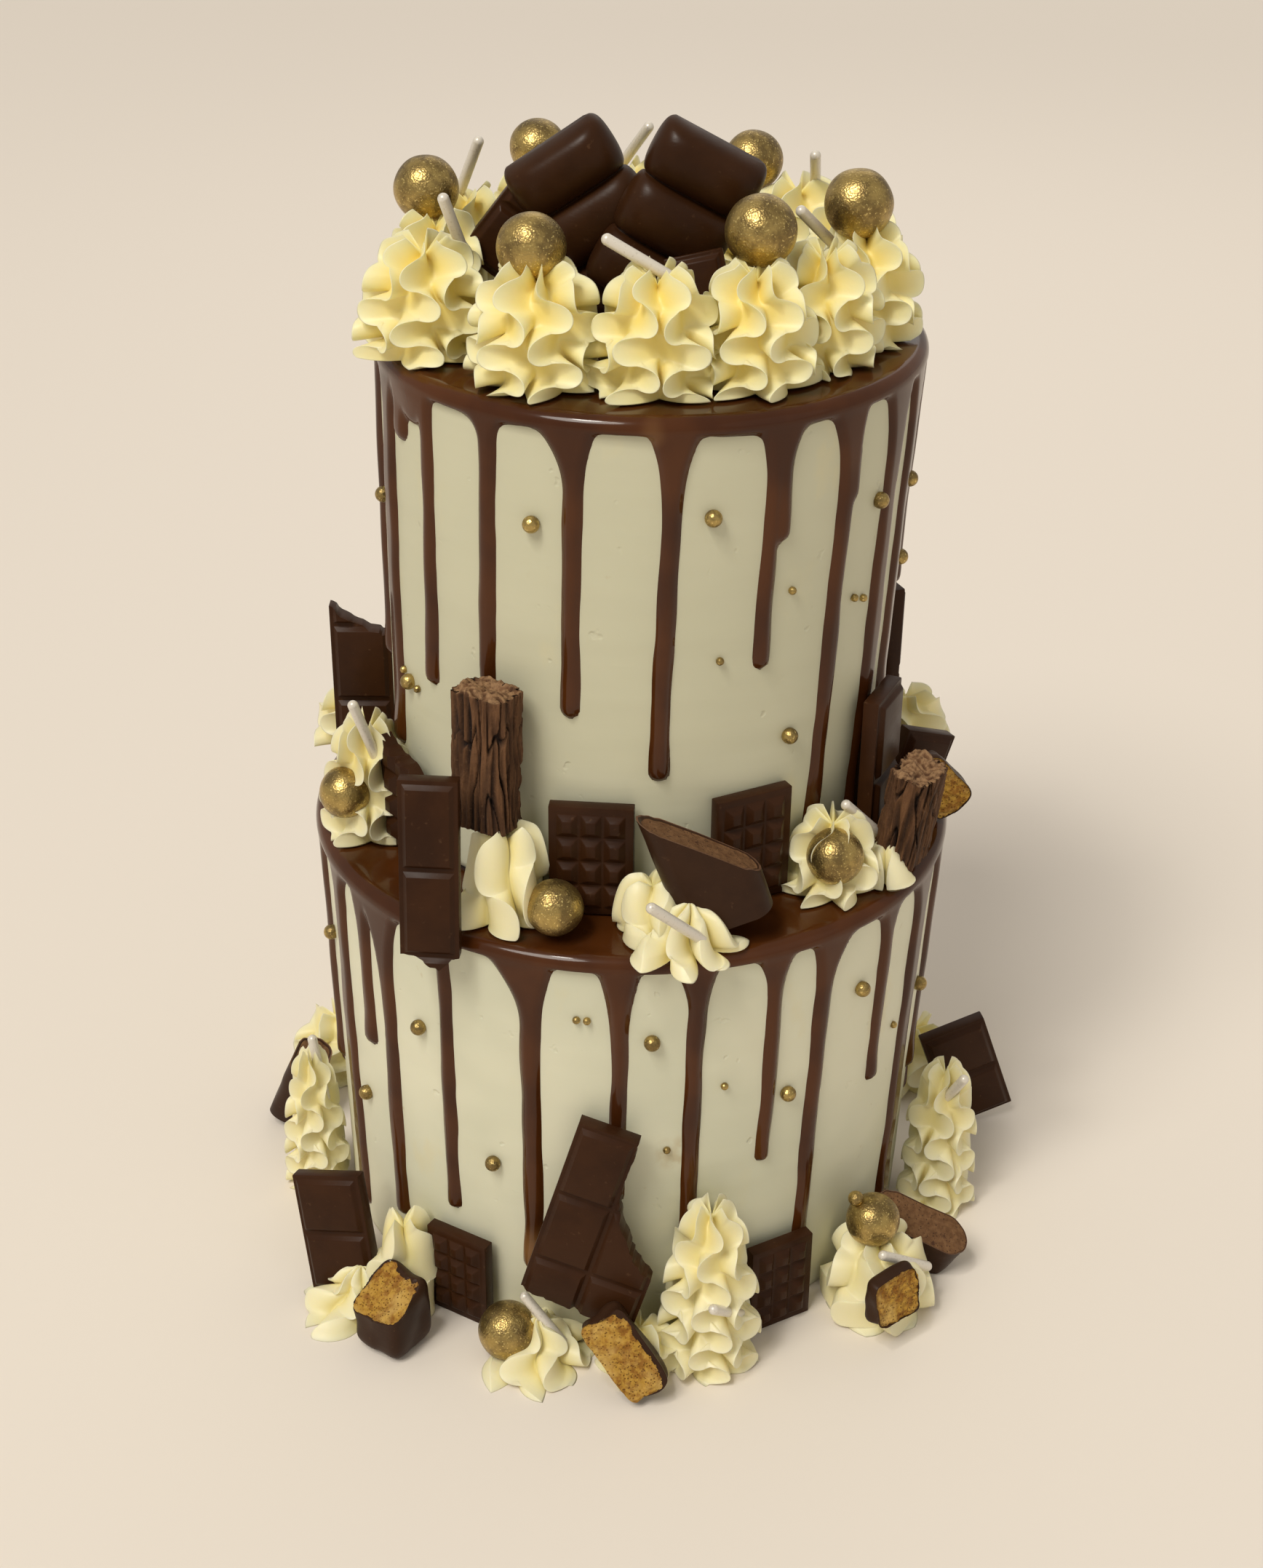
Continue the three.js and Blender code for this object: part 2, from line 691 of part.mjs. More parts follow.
const ledgeSlabFront = addPiece(
  "ledge",
  "ledge_slab_front",
  brokenTo(slabPiece(1, 3, 17.5, 29), SLAB_FOOT_BREAK),
  looks.dark,
  { at: -31, r: 123, lift: -9, turn: 27, lean: 8 },
);
const ledgeFlakeLeft = addPiece(
  "ledge",
  "ledge_flake_left",
  flakeStick(46, 4),
  looks.milk,
  { at: -29.5, r: 93, lift: 31, lean: 2 },
);
const ledgeLoop = addCream("ledge", "ledge_cream_loop", [swirl(-25, 94, 17, 34)]);
const ledgeBallFront = addBall("ledge", "ledge_ball_front", -14, 99.6, 9.6, 9.2);
const ledgeMiniFront = addPiece(
  "ledge",
  "ledge_mini_bar_front",
  miniBar(),
  looks.dark,
  { at: -8.8, r: 83.5, turn: 4 },
);
const ledgeStar = addCream(
  "ledge",
  "ledge_cream_star",
  [swirl(10, 104, 22, 16, { form: "star" }), swirl(4, 94, 14, 20)],
  [[[18.5, -113.9, 11.9], [4.5, -122.5, 27.2]]],
);
const ledgeMousse = addPiece(
  "ledge",
  "ledge_mousse_bar",
  mousseBar({ wide: 31, thick: 14, tall: 28, narrow: 0.97, slant: -30 }),
  looks.mousse,
  { at: 17.7, r: 100, lift: 1, turn: -14, roll: -20, lean: 4 },
);
const ledgeMiniRight = addPiece(
  "ledge",
  "ledge_mini_bar_right",
  miniBar(),
  looks.dark,
  { at: 27.4, r: 82.5 },
);
const ledgeRight = addCream(
  "ledge",
  "ledge_cream_right",
  [swirl(45, 92, 18, 28), swirl(56, 101, 13, 15, { ribs: 5, rows: 3 })],
  [[[80.7, -54.1, 13.9], [68, -63.1, 29.9]]],
);
const ledgeBallRight = addBall("ledge", "ledge_ball_right", 42, 98, 15, 9.5);
const ledgeSlabRight = addPiece(
  "ledge",
  "ledge_slab_right",
  slabPiece(1, 2, ...SLAB_TALL),
  looks.dark,
  { at: 65, r: 90 },
);
const ledgeSlabBack = addPiece(
  "ledge",
  "ledge_slab_back",
  slabPiece(1, 2, 21, 32),
  looks.dark,
  { at: 112, r: 95.5 },
);
const ledgeFlakeRight = addPiece(
  "ledge",
  "ledge_flake_right",
  flakeStick(34, 9),
  looks.milk,
  { at: 59.5, r: 103.5, lift: 3, lean: -8 },
);
addPiece(
  "ledge",
  "ledge_honeycomb",
  honeycombChunk({ wide: 17, thick: 10, tall: 25, seed: 6 }),
  looks.honeycomb,
  { at: 80, r: 114, lift: 0.5, turn: -70, roll: -40 },
);
const ledgeLeaning = addPiece(
  "ledge",
  "ledge_slab_leaning",
  slabPiece(1, 1, 20, 20),
  looks.dark,
  { at: 88, r: 97, turn: -60, roll: 20 },
);
const ledgeBackSwirls = [];
for (let at = 110; at < 252; at += 17.5) {
  ledgeBackSwirls.push(swirl(at, 106, 18.5, 22, { ribs: 5, rows: 3, depth: 0.12 }));
}
const ledgeBack = addCream("ledge", "ledge_cream_back", ledgeBackSwirls);
const ledgeBallBack = addBall("ledge", "ledge_ball_back", 166, 106, 25, 9.4);
const ledgeSlabRear = addPiece(
  "ledge",
  "ledge_slab_rear",
  slabPiece(1, 2, ...SLAB_TALL),
  looks.dark,
  { at: 205, r: 96 },
);

// The foot of the cake
const baseMousseLeft = addPiece(
  "base",
  "base_mousse_left",
  mousseBar({ wide: 26, thick: 14, tall: 27 }),
  looks.mousse,
  { at: -98, r: 132, lean: 20 },
);
const baseConeLeft = addCream(
  "base",
  "base_cream_left",
  [swirl(-79, 117, 12.5, 62, { form: "cone" })],
  [[[-111.1, -23.3, 45], [-114.4, -21.4, 67.2]]],
);
const baseSlabLeft = addPiece(
  "base",
  "base_slab_left",
  slabPiece(1, 2, ...SLAB_SMALL),
  looks.dark,
  { at: -49, r: 128.5, turn: 30, roll: -12, lean: 10 },
);
const baseMound = addCream("base", "base_cream_mound", [
  swirl(-46, 127, 25, 16, { form: "star" }),
  swirl(-41, 116, 15, 40),
]);
const baseCube = addPiece(
  "base",
  "base_honeycomb_cube",
  honeycombChunk({ wide: 22, thick: 21, tall: 28, seed: 2 }),
  looks.honeycomb,
  { at: -36, r: 134 },
);
const baseMiniLeft = addPiece(
  "base",
  "base_mini_bar_left",
  miniBar(0.9),
  looks.dark,
  { at: -31, r: 109 },
);
const baseBallFront = addBall("base", "base_ball_front", -18.7, 121, 10.5, 10.5);
const baseFront = addCream(
  "base",
  "base_cream_front",
  [swirl(-14, 118, 24, 17, { form: "star" })],
  [[[-20.9, -116.6, 8.9], [-34.3, -113, 26.7]]],
);
const baseBehind = addCream("base", "base_cream_behind", [swirl(3, 119, 15, 20, { ribs: 5, rows: 3 })]);
const baseSlabBroken = addPiece(
  "base",
  "base_slab_broken",
  brokenTo(slabPiece(2, 3, 19.5, 27.5), SLAB_SIDE_BREAK),
  looks.dark,
  { at: -9, r: 118.5, lift: 18, roll: 16, lean: 4 },
);
const baseWedge = addPiece(
  "base",
  "base_honeycomb_wedge",
  honeycombChunk({ wide: 17, thick: 13, tall: 33, seed: 3 }),
  looks.honeycomb,
  { at: 4.4, r: 137, roll: -33, lean: 20 },
);
const baseCone = addCream(
  "base",
  "base_cream_cone",
  [swirl(14.5, 118, 18, 68, { form: "cone" })],
  [[[39, -121, 25], [29.5, -134.5, 39]]],
);
const baseMiniRight = addPiece(
  "base",
  "base_mini_bar_right",
  miniBar(0.9),
  looks.dark,
  { at: 29.5, r: 110 },
);
const baseRight = addCream(
  "base",
  "base_cream_right",
  [swirl(46.5, 124, 22, 32)],
  [[[103.6, -89.2, 19.5], [88.1, -99.2, 32.3]]],
);
const baseBallRight = addBall("base", "base_ball_right", 45.5, 122, 36, 9.4);
const baseChunk = addPiece(
  "base",
  "base_honeycomb_right",
  honeycombChunk({ wide: 20, thick: 12, tall: 18, seed: 8 }),
  looks.honeycomb,
  { at: 41, r: 142, lift: 12 },
);
const baseMousseRight = addPiece(
  "base",
  "base_mousse_right",
  mousseBar({ wide: 31, thick: 15, tall: 20, narrow: 0.55, slant: -22 }),
  looks.mousse,
  { at: 60, r: 127.5, turn: -75, lean: -20, roll: -6 },
);
const baseConeRight = addCream(
  "base",
  "base_cream_cone_right",
  [swirl(76, 121, 15, 64, { form: "cone" })],
  [[[117.3, -31.4, 47], [122.9, -43.1, 67]]],
);
const baseSlabRight = addPiece(
  "base",
  "base_slab_right",
  slabPiece(1, 2, ...SLAB_SMALL),
  looks.dark,
  { at: 98, r: 142, turn: -88, roll: -20 },
);
const baseBackSwirls = [];
for (let at = 113; at < 250; at += 16.5) {
  baseBackSwirls.push(swirl(at, 127, 20.5, 27, { ribs: 5, rows: 3, depth: 0.16 }));
}
const baseBack = addCream("base", "base_cream_back", baseBackSwirls);
const baseBallRear = addBall("base", "base_ball_rear", 187, 128, 30, 9.8);
const baseSlabRear = addPiece(
  "base",
  "base_slab_rear",
  slabPiece(1, 2, ...SLAB_SMALL),
  looks.dark,
  { at: 150, r: 146, lean: 10 },
);

// Each row of cream gives way to what sits in it and to the wall behind it
pressInto(ledgeLeft, [ledgeSlabLeft, ledgeBallLeft, ledgeMiniBroken], [upperWall]);
pressInto(ledgeLoop, [ledgeSlabFront, ledgeFlakeLeft, ledgeBallFront, ledgeMiniFront], [upperWall]);
pressInto(ledgeStar, [ledgeMousse, ledgeMiniFront, ledgeMiniRight, ledgeBallFront], [upperWall]);
pressInto(
  ledgeRight,
  [ledgeMiniRight, ledgeBallRight, ledgeSlabRight, ledgeFlakeRight, ledgeMousse],
  [upperWall],
);
pressInto(ledgeBack, [ledgeBallBack, ledgeSlabRear, ledgeSlabBack, ledgeLeaning, ledgeSlabLeft]);
pressInto(baseConeLeft, [baseMousseLeft, baseSlabLeft], [lowerWall]);
pressInto(baseMound, [baseSlabLeft, baseCube, baseMiniLeft], [lowerWall]);
pressInto(baseFront, [baseBallFront, baseSlabBroken, baseWedge, baseMiniLeft], [lowerWall]);
pressInto(baseBehind, [baseCone, baseFront, baseSlabBroken, baseWedge], [lowerWall]);
pressInto(baseCone, [baseSlabBroken, baseWedge, baseMiniRight], [lowerWall]);
pressInto(baseRight, [baseBallRight, baseChunk, baseMiniRight, baseMousseRight], [lowerWall]);
pressInto(baseConeRight, [baseMousseRight, baseSlabRight], [lowerWall]);
pressInto(baseBack, [baseBallRear, baseSlabRear, baseSlabRight, baseMousseLeft]);

export default cake;
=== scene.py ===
"""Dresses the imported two-tier drip cake: frosting, glaze, piped cream, sweets and gold."""
import math
import random

import bmesh
import bpy
import numpy as np
from mathutils import Matrix, Vector, noise


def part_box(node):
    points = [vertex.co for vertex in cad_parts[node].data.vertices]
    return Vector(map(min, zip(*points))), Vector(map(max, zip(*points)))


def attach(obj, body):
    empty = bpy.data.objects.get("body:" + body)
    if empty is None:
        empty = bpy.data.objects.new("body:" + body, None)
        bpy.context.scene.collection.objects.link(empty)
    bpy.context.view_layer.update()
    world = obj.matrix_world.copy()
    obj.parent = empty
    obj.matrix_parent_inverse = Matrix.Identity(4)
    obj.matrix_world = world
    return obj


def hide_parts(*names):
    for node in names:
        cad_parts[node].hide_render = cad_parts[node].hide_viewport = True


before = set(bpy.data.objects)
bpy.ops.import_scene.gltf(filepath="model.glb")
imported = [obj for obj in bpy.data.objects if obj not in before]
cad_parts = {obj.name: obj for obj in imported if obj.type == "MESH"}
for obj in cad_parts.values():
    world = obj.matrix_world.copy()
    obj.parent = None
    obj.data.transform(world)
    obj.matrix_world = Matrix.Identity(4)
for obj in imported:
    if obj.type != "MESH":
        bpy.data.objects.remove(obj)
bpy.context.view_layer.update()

MM = 0.001

# The cake's own sizes, in millimetres, as in the part's source
GAP = 0.3
EDGE = 3.0
GLAZE = 2.0
LOWER = {"z0": 0.0, "z1": 159.8, "r0": 103.6, "r1": 109.3, "x0": 0.0, "x1": 1.9, "y": 0.0}
UPPER = {"z0": 160.1, "z1": 327.0, "r0": 83.0, "r1": 87.0, "x0": 1.9, "x1": 6.5, "y": 4.8}
LEVELS = {"base": (0.0, 0.0, 0.0), "ledge": (1.9, 0.0, 160.1), "top": (6.5, 4.8, 327.3)}
PEARL = 2.7
SPECK = 1.3
PEARL_PROUD = 0.45
PEARL_ROOM = (60, 30)
ROD_RADIUS = 1.8
ROD_LENGTH = 25.0
ROD_INSIDE = 5.0
MINI = {"wide": 27.0, "tall": 39.0, "thick": 6.4, "across": 3, "up": 4, "border": 2.2, "raise": 1.9}
MINI |= {"groove": 0.7, "slope": 2}
SLAB = {"thick": 7.0, "raise": 1.7, "groove": 1.4, "slope": 1.3, "border": 0.6}
LOBED = {"lobes": 3, "pitch": 19.0, "long": 36.0, "thick": 12.0, "back": 3.5}


def rad(degrees):
    return math.radians(degrees)


def lerp(a, b, t):
    return a + (b - a) * t


# Shader expressions


class Value:
    """A socket in a look. Arithmetic on it adds Math nodes."""

    def __init__(self, look, socket):
        self.look = look
        self.socket = socket

    def math(self, operation, *values):
        return self.look.node("ShaderNodeMath", {"operation": operation}, dict(enumerate(values)))

    def __add__(self, other):
        return self.math("ADD", self, other)

    def __radd__(self, other):
        return self.math("ADD", other, self)

    def __sub__(self, other):
        return self.math("SUBTRACT", self, other)

    def __rsub__(self, other):
        return self.math("SUBTRACT", other, self)

    def __mul__(self, other):
        return self.math("MULTIPLY", self, other)

    def __rmul__(self, other):
        return self.math("MULTIPLY", other, self)

    def step(self, low, high):
        settings = {"interpolation_type": "SMOOTHSTEP"}
        return self.look.node("ShaderNodeMapRange", settings, {0: self, 1: low, 2: high, 3: 0.0, 4: 1.0})


class Look:
    """A material: node() adds any node, and expressions on its values add the maths."""

    def __init__(self, name, **constants):
        self.material = bpy.data.materials.new(name)
        self.material.use_nodes = True
        self.tree = self.material.node_tree
        self.shader = self.tree.nodes["Principled BSDF"]
        for socket, value in constants.items():
            self.shader.inputs[socket.replace("_", " ")].default_value = value
        self.place = self.node("ShaderNodeTexCoord", output="Object")

    def feed(self, socket, value):
        if isinstance(value, Value):
            self.tree.links.new(value.socket, socket)
        else:
            socket.default_value = value

    def node(self, kind, settings=None, values=None, output=0):
        made = self.tree.nodes.new(kind)
        for key, value in (settings or {}).items():
            if key == "stops":
                while len(made.color_ramp.elements) < len(value):
                    made.color_ramp.elements.new(0.5)
                for element, (at, colour) in zip(made.color_ramp.elements, value):
                    element.position = at
                    element.color = (*colour, 1)
            else:
                setattr(made, key, value)
        for key, value in (values or {}).items():
            self.feed(made.inputs[key], value)
        return Value(self, made.outputs[output])

    def noise(self, scale, detail=2.0, roughness=0.5, place=None, distortion=0.0):
        values = {"Vector": place or self.place, "Scale": scale, "Detail": detail, "Roughness": roughness}
        values["Distortion"] = distortion
        return self.node("ShaderNodeTexNoise", None, values)

    def cells(self, scale):
        return self.node("ShaderNodeTexVoronoi", {"feature": "F1"}, {"Vector": self.place, "Scale": scale})

    def stretched(self, x, y, z):
        return self.node("ShaderNodeMapping", {"vector_type": "POINT"}, {0: self.place, 3: (x, y, z)})

    def distance(self, x, y, z):
        there = self.node("ShaderNodeVectorMath", {"operation": "DISTANCE"}, {0: self.place, 1: (x, y, z)}, 1)
        return there * (1 / MM)

    def mix(self, amount, one, other):
        colours = [c if isinstance(c, Value) else (*c, 1) for c in (one, other)]
        return self.node("ShaderNodeMix", {"data_type": "RGBA"}, {0: amount, 6: colours[0], 7: colours[1]}, 2)

    def bump(self, height, distance, strength):
        values = {"Height": height, "Distance": distance, "Strength": strength}
        return self.node("ShaderNodeBump", None, values)

    def paint(self, **values):
        for socket, value in values.items():
            self.feed(self.shader.inputs[socket.replace("_", " ")], value)
        return self.material


# Where the frosting is stained, and where painted highlights lighten the glaze: a place in metres and a reach
# in mm
STAINS = [(0.0175, -0.105, 0.080, 9), (-0.0105, -0.104, 0.052, 11)]
PAINTED_GLAZE_HIGHLIGHTS = [(0.0065, -0.0805, 0.3215, 6), (-0.0295, -0.100, 0.034, 14)]


def frosting_look():
    look = Look("frosting", Roughness=0.5, Subsurface_Weight=0.12, Subsurface_Scale=0.002)
    look.shader.inputs["Subsurface Radius"].default_value = (1.0, 0.8, 0.5)
    tone = look.mix(look.noise(13, 3).step(0.35, 0.68), (0.74, 0.725, 0.55), (0.63, 0.63, 0.475))
    # Painted shade: the frosting is darker on the upper tier, from 0.15 m up
    height = look.node("ShaderNodeSeparateXYZ", None, {0: look.place}, 2)
    tone = look.mix(height.step(0.15, 0.22) * 0.8, tone, (0.56, 0.545, 0.385))
    blotch = look.noise(42, 4, 0.6, look.stretched(1, 1, 0.6)).step(0.58, 0.75)
    tone = look.mix(blotch * 0.35, tone, (0.70, 0.62, 0.36))
    stain = look.noise(90, 3, 0.6).step(0.70, 0.76) * look.noise(21, 1).step(0.55, 0.66)
    for x, y, z, reach in STAINS:
        near = 1 - look.distance(x, y, z).step(reach * 0.4, reach)
        stain = stain + near * look.noise(160, 3).step(0.35, 0.6)
    tone = look.mix(stain * 0.45, tone, (0.45, 0.33, 0.15))
    scraped = look.noise(30, 4, 0.55, look.stretched(0.35, 0.35, 3.0))
    swept = look.noise(18, 2, 0.5, look.stretched(1, 1, 0.5))
    pits = look.noise(150, 2).step(0.70, 0.78)
    relief = look.bump(scraped * 0.5 + swept - pits * 0.5, 0.0009, 0.5)
    return look.paint(Base_Color=tone, Roughness=look.noise(40, 2) * 0.16 + 0.42, Normal=relief)


def cream_look():
    look = Look("piped_cream", Roughness=0.45, Subsurface_Weight=0.25, Subsurface_Scale=0.003)
    look.shader.inputs["Subsurface Radius"].default_value = (1.0, 0.8, 0.4)
    # Painted shade: deep in the folds the cream is darker and more saturated, and the thin rib edges are
    # paler, as if lit
    fold = look.node("ShaderNodeAttribute", {"attribute_name": "fold"}, None, "Fac")
    tone = look.mix(fold, (0.86, 0.82, 0.50), (0.84, 0.67, 0.16))
    pale = look.mix(fold, (0.84, 0.79, 0.53), (0.81, 0.70, 0.27))
    height = look.node("ShaderNodeSeparateXYZ", None, {0: look.place}, 2)
    tone = look.mix(height.step(0.16, 0.32), pale, tone)
    tone = look.mix(look.noise(60, 2).step(0.4, 0.7) * 0.2, tone, (0.86, 0.82, 0.56))
    relief = look.bump(look.noise(900, 3, 0.6), 0.0002, 0.3)
    return look.paint(Base_Color=tone, Normal=relief)


def glaze_look():
    look = Look("glaze", Roughness=0.25, Specular_IOR_Level=0.08, Coat_Weight=0.4, Coat_Roughness=0.07)
    tone = look.mix(look.noise(35, 3).step(0.35, 0.7), (0.076, 0.0225, 0.0045), (0.048, 0.0135, 0.0030))
    # Painted highlights: the glaze is lightened round each of these places
    for x, y, z, reach in PAINTED_GLAZE_HIGHLIGHTS:
        tone = look.mix((1 - look.distance(x, y, z).step(0.0, reach)) * 0.75, tone, (0.26, 0.13, 0.045))
    relief = look.bump(look.noise(70, 2), 0.0006, 0.3)
    return look.paint(Base_Color=tone, Roughness=look.noise(60, 3) * 0.2 + 0.12, Normal=relief)


def chocolate_look(name, tone, other, rough):
    look = Look(name, Roughness=rough, Specular_IOR_Level=0.13)
    colour = look.mix(look.noise(45, 4, 0.6).step(0.35, 0.7), tone, other)
    dust = look.noise(500, 2).step(0.66, 0.8)
    colour = look.mix(dust * 0.15, colour, (0.22, 0.12, 0.06))
    relief = look.bump(look.noise(160, 3, 0.7, look.stretched(1, 1, 3)), 0.0002, 0.35)
    return look.paint(Base_Color=colour, Roughness=look.noise(110, 3) * 0.25 + (rough - 0.12), Normal=relief)


def flake_look():
    look = Look("flaked_chocolate", Roughness=0.75, Specular_IOR_Level=0.25)
    fold = look.node("ShaderNodeAttribute", {"attribute_name": "fold"}, None, "Fac")
    crumb = look.noise(700, 4, 0.7)
    folds = look.noise(260, 4, 0.65, look.stretched(1, 1, 0.2), 0.5)
    colour = look.mix(folds.step(0.35, 0.65), (0.070, 0.030, 0.012), (0.150, 0.070, 0.030))
    # Painted shade: near black in the creases and low between the leaves
    colour = look.mix(fold, colour, (0.012, 0.005, 0.003))
    colour = look.mix(crumb.step(0.58, 0.75) * 0.4, colour, (0.20, 0.11, 0.055))
    colour = look.mix((fold * -2.2).step(0.0, 1.0) * crumb.step(0.3, 0.6), colour, (0.30, 0.175, 0.085))
    relief = look.bump(folds * 0.8 + crumb * 0.3, 0.0016, 0.8)
    return look.paint(Base_Color=colour, Normal=relief)


def mousse_look():
    look = Look("mousse", Roughness=0.8, Specular_IOR_Level=0.25)
    pores = look.cells(750).step(0.0, 0.30)
    specks = look.noise(300, 3, 0.7).step(0.60, 0.68)
    grain = look.noise(450, 4, 0.65)
    colour = look.mix(grain.step(0.3, 0.7), (0.110, 0.050, 0.019), (0.185, 0.094, 0.040))
    # Painted shade: the pores are darker in their pits
    colour = look.mix(pores, (0.05, 0.021, 0.009), colour)
    colour = look.mix(specks * 0.7, colour, (0.045, 0.016, 0.008))
    relief = look.bump(grain + pores * 0.6, 0.0007, 0.7)
    return look.paint(Base_Color=colour, Normal=relief)


def honeycomb_look():
    look = Look("honeycomb", Roughness=0.65, Specular_IOR_Level=0.3)
    browned = look.noise(75, 3, 0.55)
    pores = look.cells(1000).step(0.05, 0.35)
    fine = look.noise(900, 3, 0.7)
    grainy = look.noise(330, 4, 0.7).step(0.40, 0.62)
    colour = look.mix(grainy, (0.44, 0.245, 0.034), (0.24, 0.098, 0.008))
    colour = look.mix(browned.step(0.52, 0.70) * 0.7, colour, (0.58, 0.38, 0.11))
    # Painted shade: the pores are darker in their pits
    colour = look.mix(pores, (0.17, 0.065, 0.008), colour)
    colour = look.mix(fine.step(0.58, 0.8) * 0.3, colour, (0.54, 0.35, 0.09))
    relief = look.bump(fine * 0.6 + pores, 0.0008, 0.7)
    return look.paint(Base_Color=colour, Normal=relief)


def gold_look():
    look = Look("gold_lustre", Roughness=0.36, Metallic=0.9)
    worn = look.noise(120, 4, 0.65)
    colour = look.mix(worn.step(0.38, 0.62), (0.47, 0.335, 0.115), (0.21, 0.145, 0.055))
    colour = look.mix(look.noise(1400, 2).step(0.60, 0.70) * 0.7, colour, (0.92, 0.72, 0.28))
    relief = look.bump(look.cells(1500) * 0.6 + worn, 0.0004, 0.4)
    return look.paint(Base_Color=colour, Roughness=worn * 0.3 + 0.20, Normal=relief)


def pearly_look():
    look = Look("pearly_sugar", Roughness=0.35, Coat_Weight=0.4, Coat_Roughness=0.2)
    specks = look.noise(1300, 2).step(0.58, 0.72)
    colour = look.mix(specks * 0.5, (0.72, 0.67, 0.58), (0.50, 0.44, 0.35))
    return look.paint(Base_Color=colour, Metallic=specks * 0.3 + 0.15)


FROSTING = frosting_look()
CREAM = cream_look()
GLAZED = glaze_look()
DARK = chocolate_look("dark_chocolate", (0.042, 0.0150, 0.0050), (0.028, 0.0098, 0.0034), 0.36)
SHELL = chocolate_look("chocolate_shell", (0.040, 0.0175, 0.0085), (0.029, 0.0125, 0.0065), 0.40)
LOBES = chocolate_look("lobed_chocolate", (0.040, 0.0150, 0.0050), (0.029, 0.0105, 0.0036), 0.34)
EDGES = chocolate_look("broken_chocolate", (0.17, 0.090, 0.052), (0.10, 0.050, 0.028), 0.6)
FLAKED = flake_look()
MOUSSE = mousse_look()
HONEYCOMB = honeycomb_look()
GOLD = gold_look()
PEARLY = pearly_look()


# Pieces


def make_piece(name, mesh, looks, replaced=()):
    """Turns a bmesh in millimetres into a piece on the cake."""
    bmesh.ops.remove_doubles(mesh, verts=mesh.verts, dist=0.0005)
    bmesh.ops.recalc_face_normals(mesh, faces=mesh.faces)
    mesh.transform(Matrix.Scale(MM, 4))
    for face in mesh.faces:
        face.smooth = True
    data = bpy.data.meshes.new(name)
    mesh.to_mesh(data)
    mesh.free()
    piece = bpy.data.objects.new(name, data)
    bpy.context.scene.collection.objects.link(piece)
    for look in looks:
        data.materials.append(look)
    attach(piece, "root")
    if replaced:
        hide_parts(*replaced)
    return piece


def sharpen(piece, degrees=35):
    piece.data.set_sharp_from_angle(angle=rad(degrees))
    return piece


def turned(at=0, turn=0, lean=0, roll=0):
    leant = Matrix.Rotation(rad(-lean), 4, "X") @ Matrix.Rotation(rad(roll), 4, "Y")
    return Matrix.Rotation(rad(at + turn), 4, "Z") @ leant


def spot(level, at, r, lift=0.0):
    """A place on a level, at an angle from the front and a distance from its middle."""
    x, y, z = LEVELS[level]
    return Vector((x + r * math.sin(rad(at)), y - r * math.cos(rad(at)), z + lift))


def stand(mesh, level, at, r, lift=0, turn=0, lean=0, roll=0):
    """Stands a piece on its level as the part's source does."""
    mesh.transform(turned(at, turn, lean, roll))
    lowest = min(v.co.z for v in mesh.verts)
    mesh.transform(Matrix.Translation(spot(level, at, r, lift - lowest)))


def add_copy(mesh, other):
    """Adds another bmesh to this one."""
    data = bpy.data.meshes.new("part")
    other.to_mesh(data)
    other.free()
    mesh.from_mesh(data)
    bpy.data.meshes.remove(data)


# Frosted walls


def rise(tier, z):
    """How far up its tier a height is, from 0 to 1."""
    return (z - tier["z0"]) / (tier["z1"] - tier["z0"])


def wall_radius(tier, z):
    return lerp(tier["r0"], tier["r1"], rise(tier, z))


def axis_x(tier, z):
    return lerp(tier["x0"], tier["x1"], rise(tier, z))


def on_wall(tier, degrees, z, out):
    r = wall_radius(tier, z) + out
    x = axis_x(tier, z) + r * math.sin(rad(degrees))
    return Vector((x, tier["y"] - r * math.cos(rad(degrees)), z))


WALL_COLUMNS = 288
WALL_ROWS = 84
TOP_ROUNDING = 4
FOOT_ROUNDING = (1.2, 0.8)
SPATULA_WAVE = 0.38
SPATULA_SCRAPE = 0.1


def frosted_wall(name, tier):
    top = tier["z1"] - GLAZE - GAP
    bottom = tier["z0"]
    mesh = bmesh.new()
    inset, lift = FOOT_ROUNDING
    line = [Vector((0, 0, bottom)), Vector((wall_radius(tier, bottom) - inset, 0, bottom))]
    for i in range(WALL_ROWS + 1):
        z = lerp(bottom + lift, top - EDGE, i / WALL_ROWS)
        line.append(Vector((wall_radius(tier, z), 0, z)))
    for i in range(1, TOP_ROUNDING + 1):
        angle = rad(90 * i / TOP_ROUNDING)
        r = wall_radius(tier, top) - EDGE + EDGE * math.cos(angle)
        line.append(Vector((r, 0, top - EDGE + EDGE * math.sin(angle))))
    line.append(Vector((0, 0, top)))
    verts = [mesh.verts.new(point) for point in line]
    edges = [mesh.edges.new(pair) for pair in zip(verts, verts[1:])]
    turn = {"cent": (0, 0, 0), "axis": (0, 0, 1), "angle": math.tau, "steps": WALL_COLUMNS}
    bmesh.ops.spin(mesh, geom=verts + edges, use_merge=True, **turn)
    bmesh.ops.remove_doubles(mesh, verts=mesh.verts, dist=0.001)
    for v in mesh.verts:
        r = math.hypot(v.co.x, v.co.y)
        if r > 1 and bottom + 0.5 < v.co.z < top - 0.5:
            wave = noise.noise(Vector((v.co.x / 34, v.co.y / 34, v.co.z / 60)))
            scrape = noise.noise(Vector((v.co.x / 40, v.co.y / 40, v.co.z / 7 + 9)))
            grow = 1 + (SPATULA_WAVE * wave + SPATULA_SCRAPE * (scrape - 1)) / r
            v.co.x *= grow
            v.co.y *= grow
        v.co.x += axis_x(tier, v.co.z)
        v.co.y += tier["y"]
    return make_piece(name, mesh, [FROSTING], [name.replace("frosting", "tier")])


# Glaze that runs over the rim and down

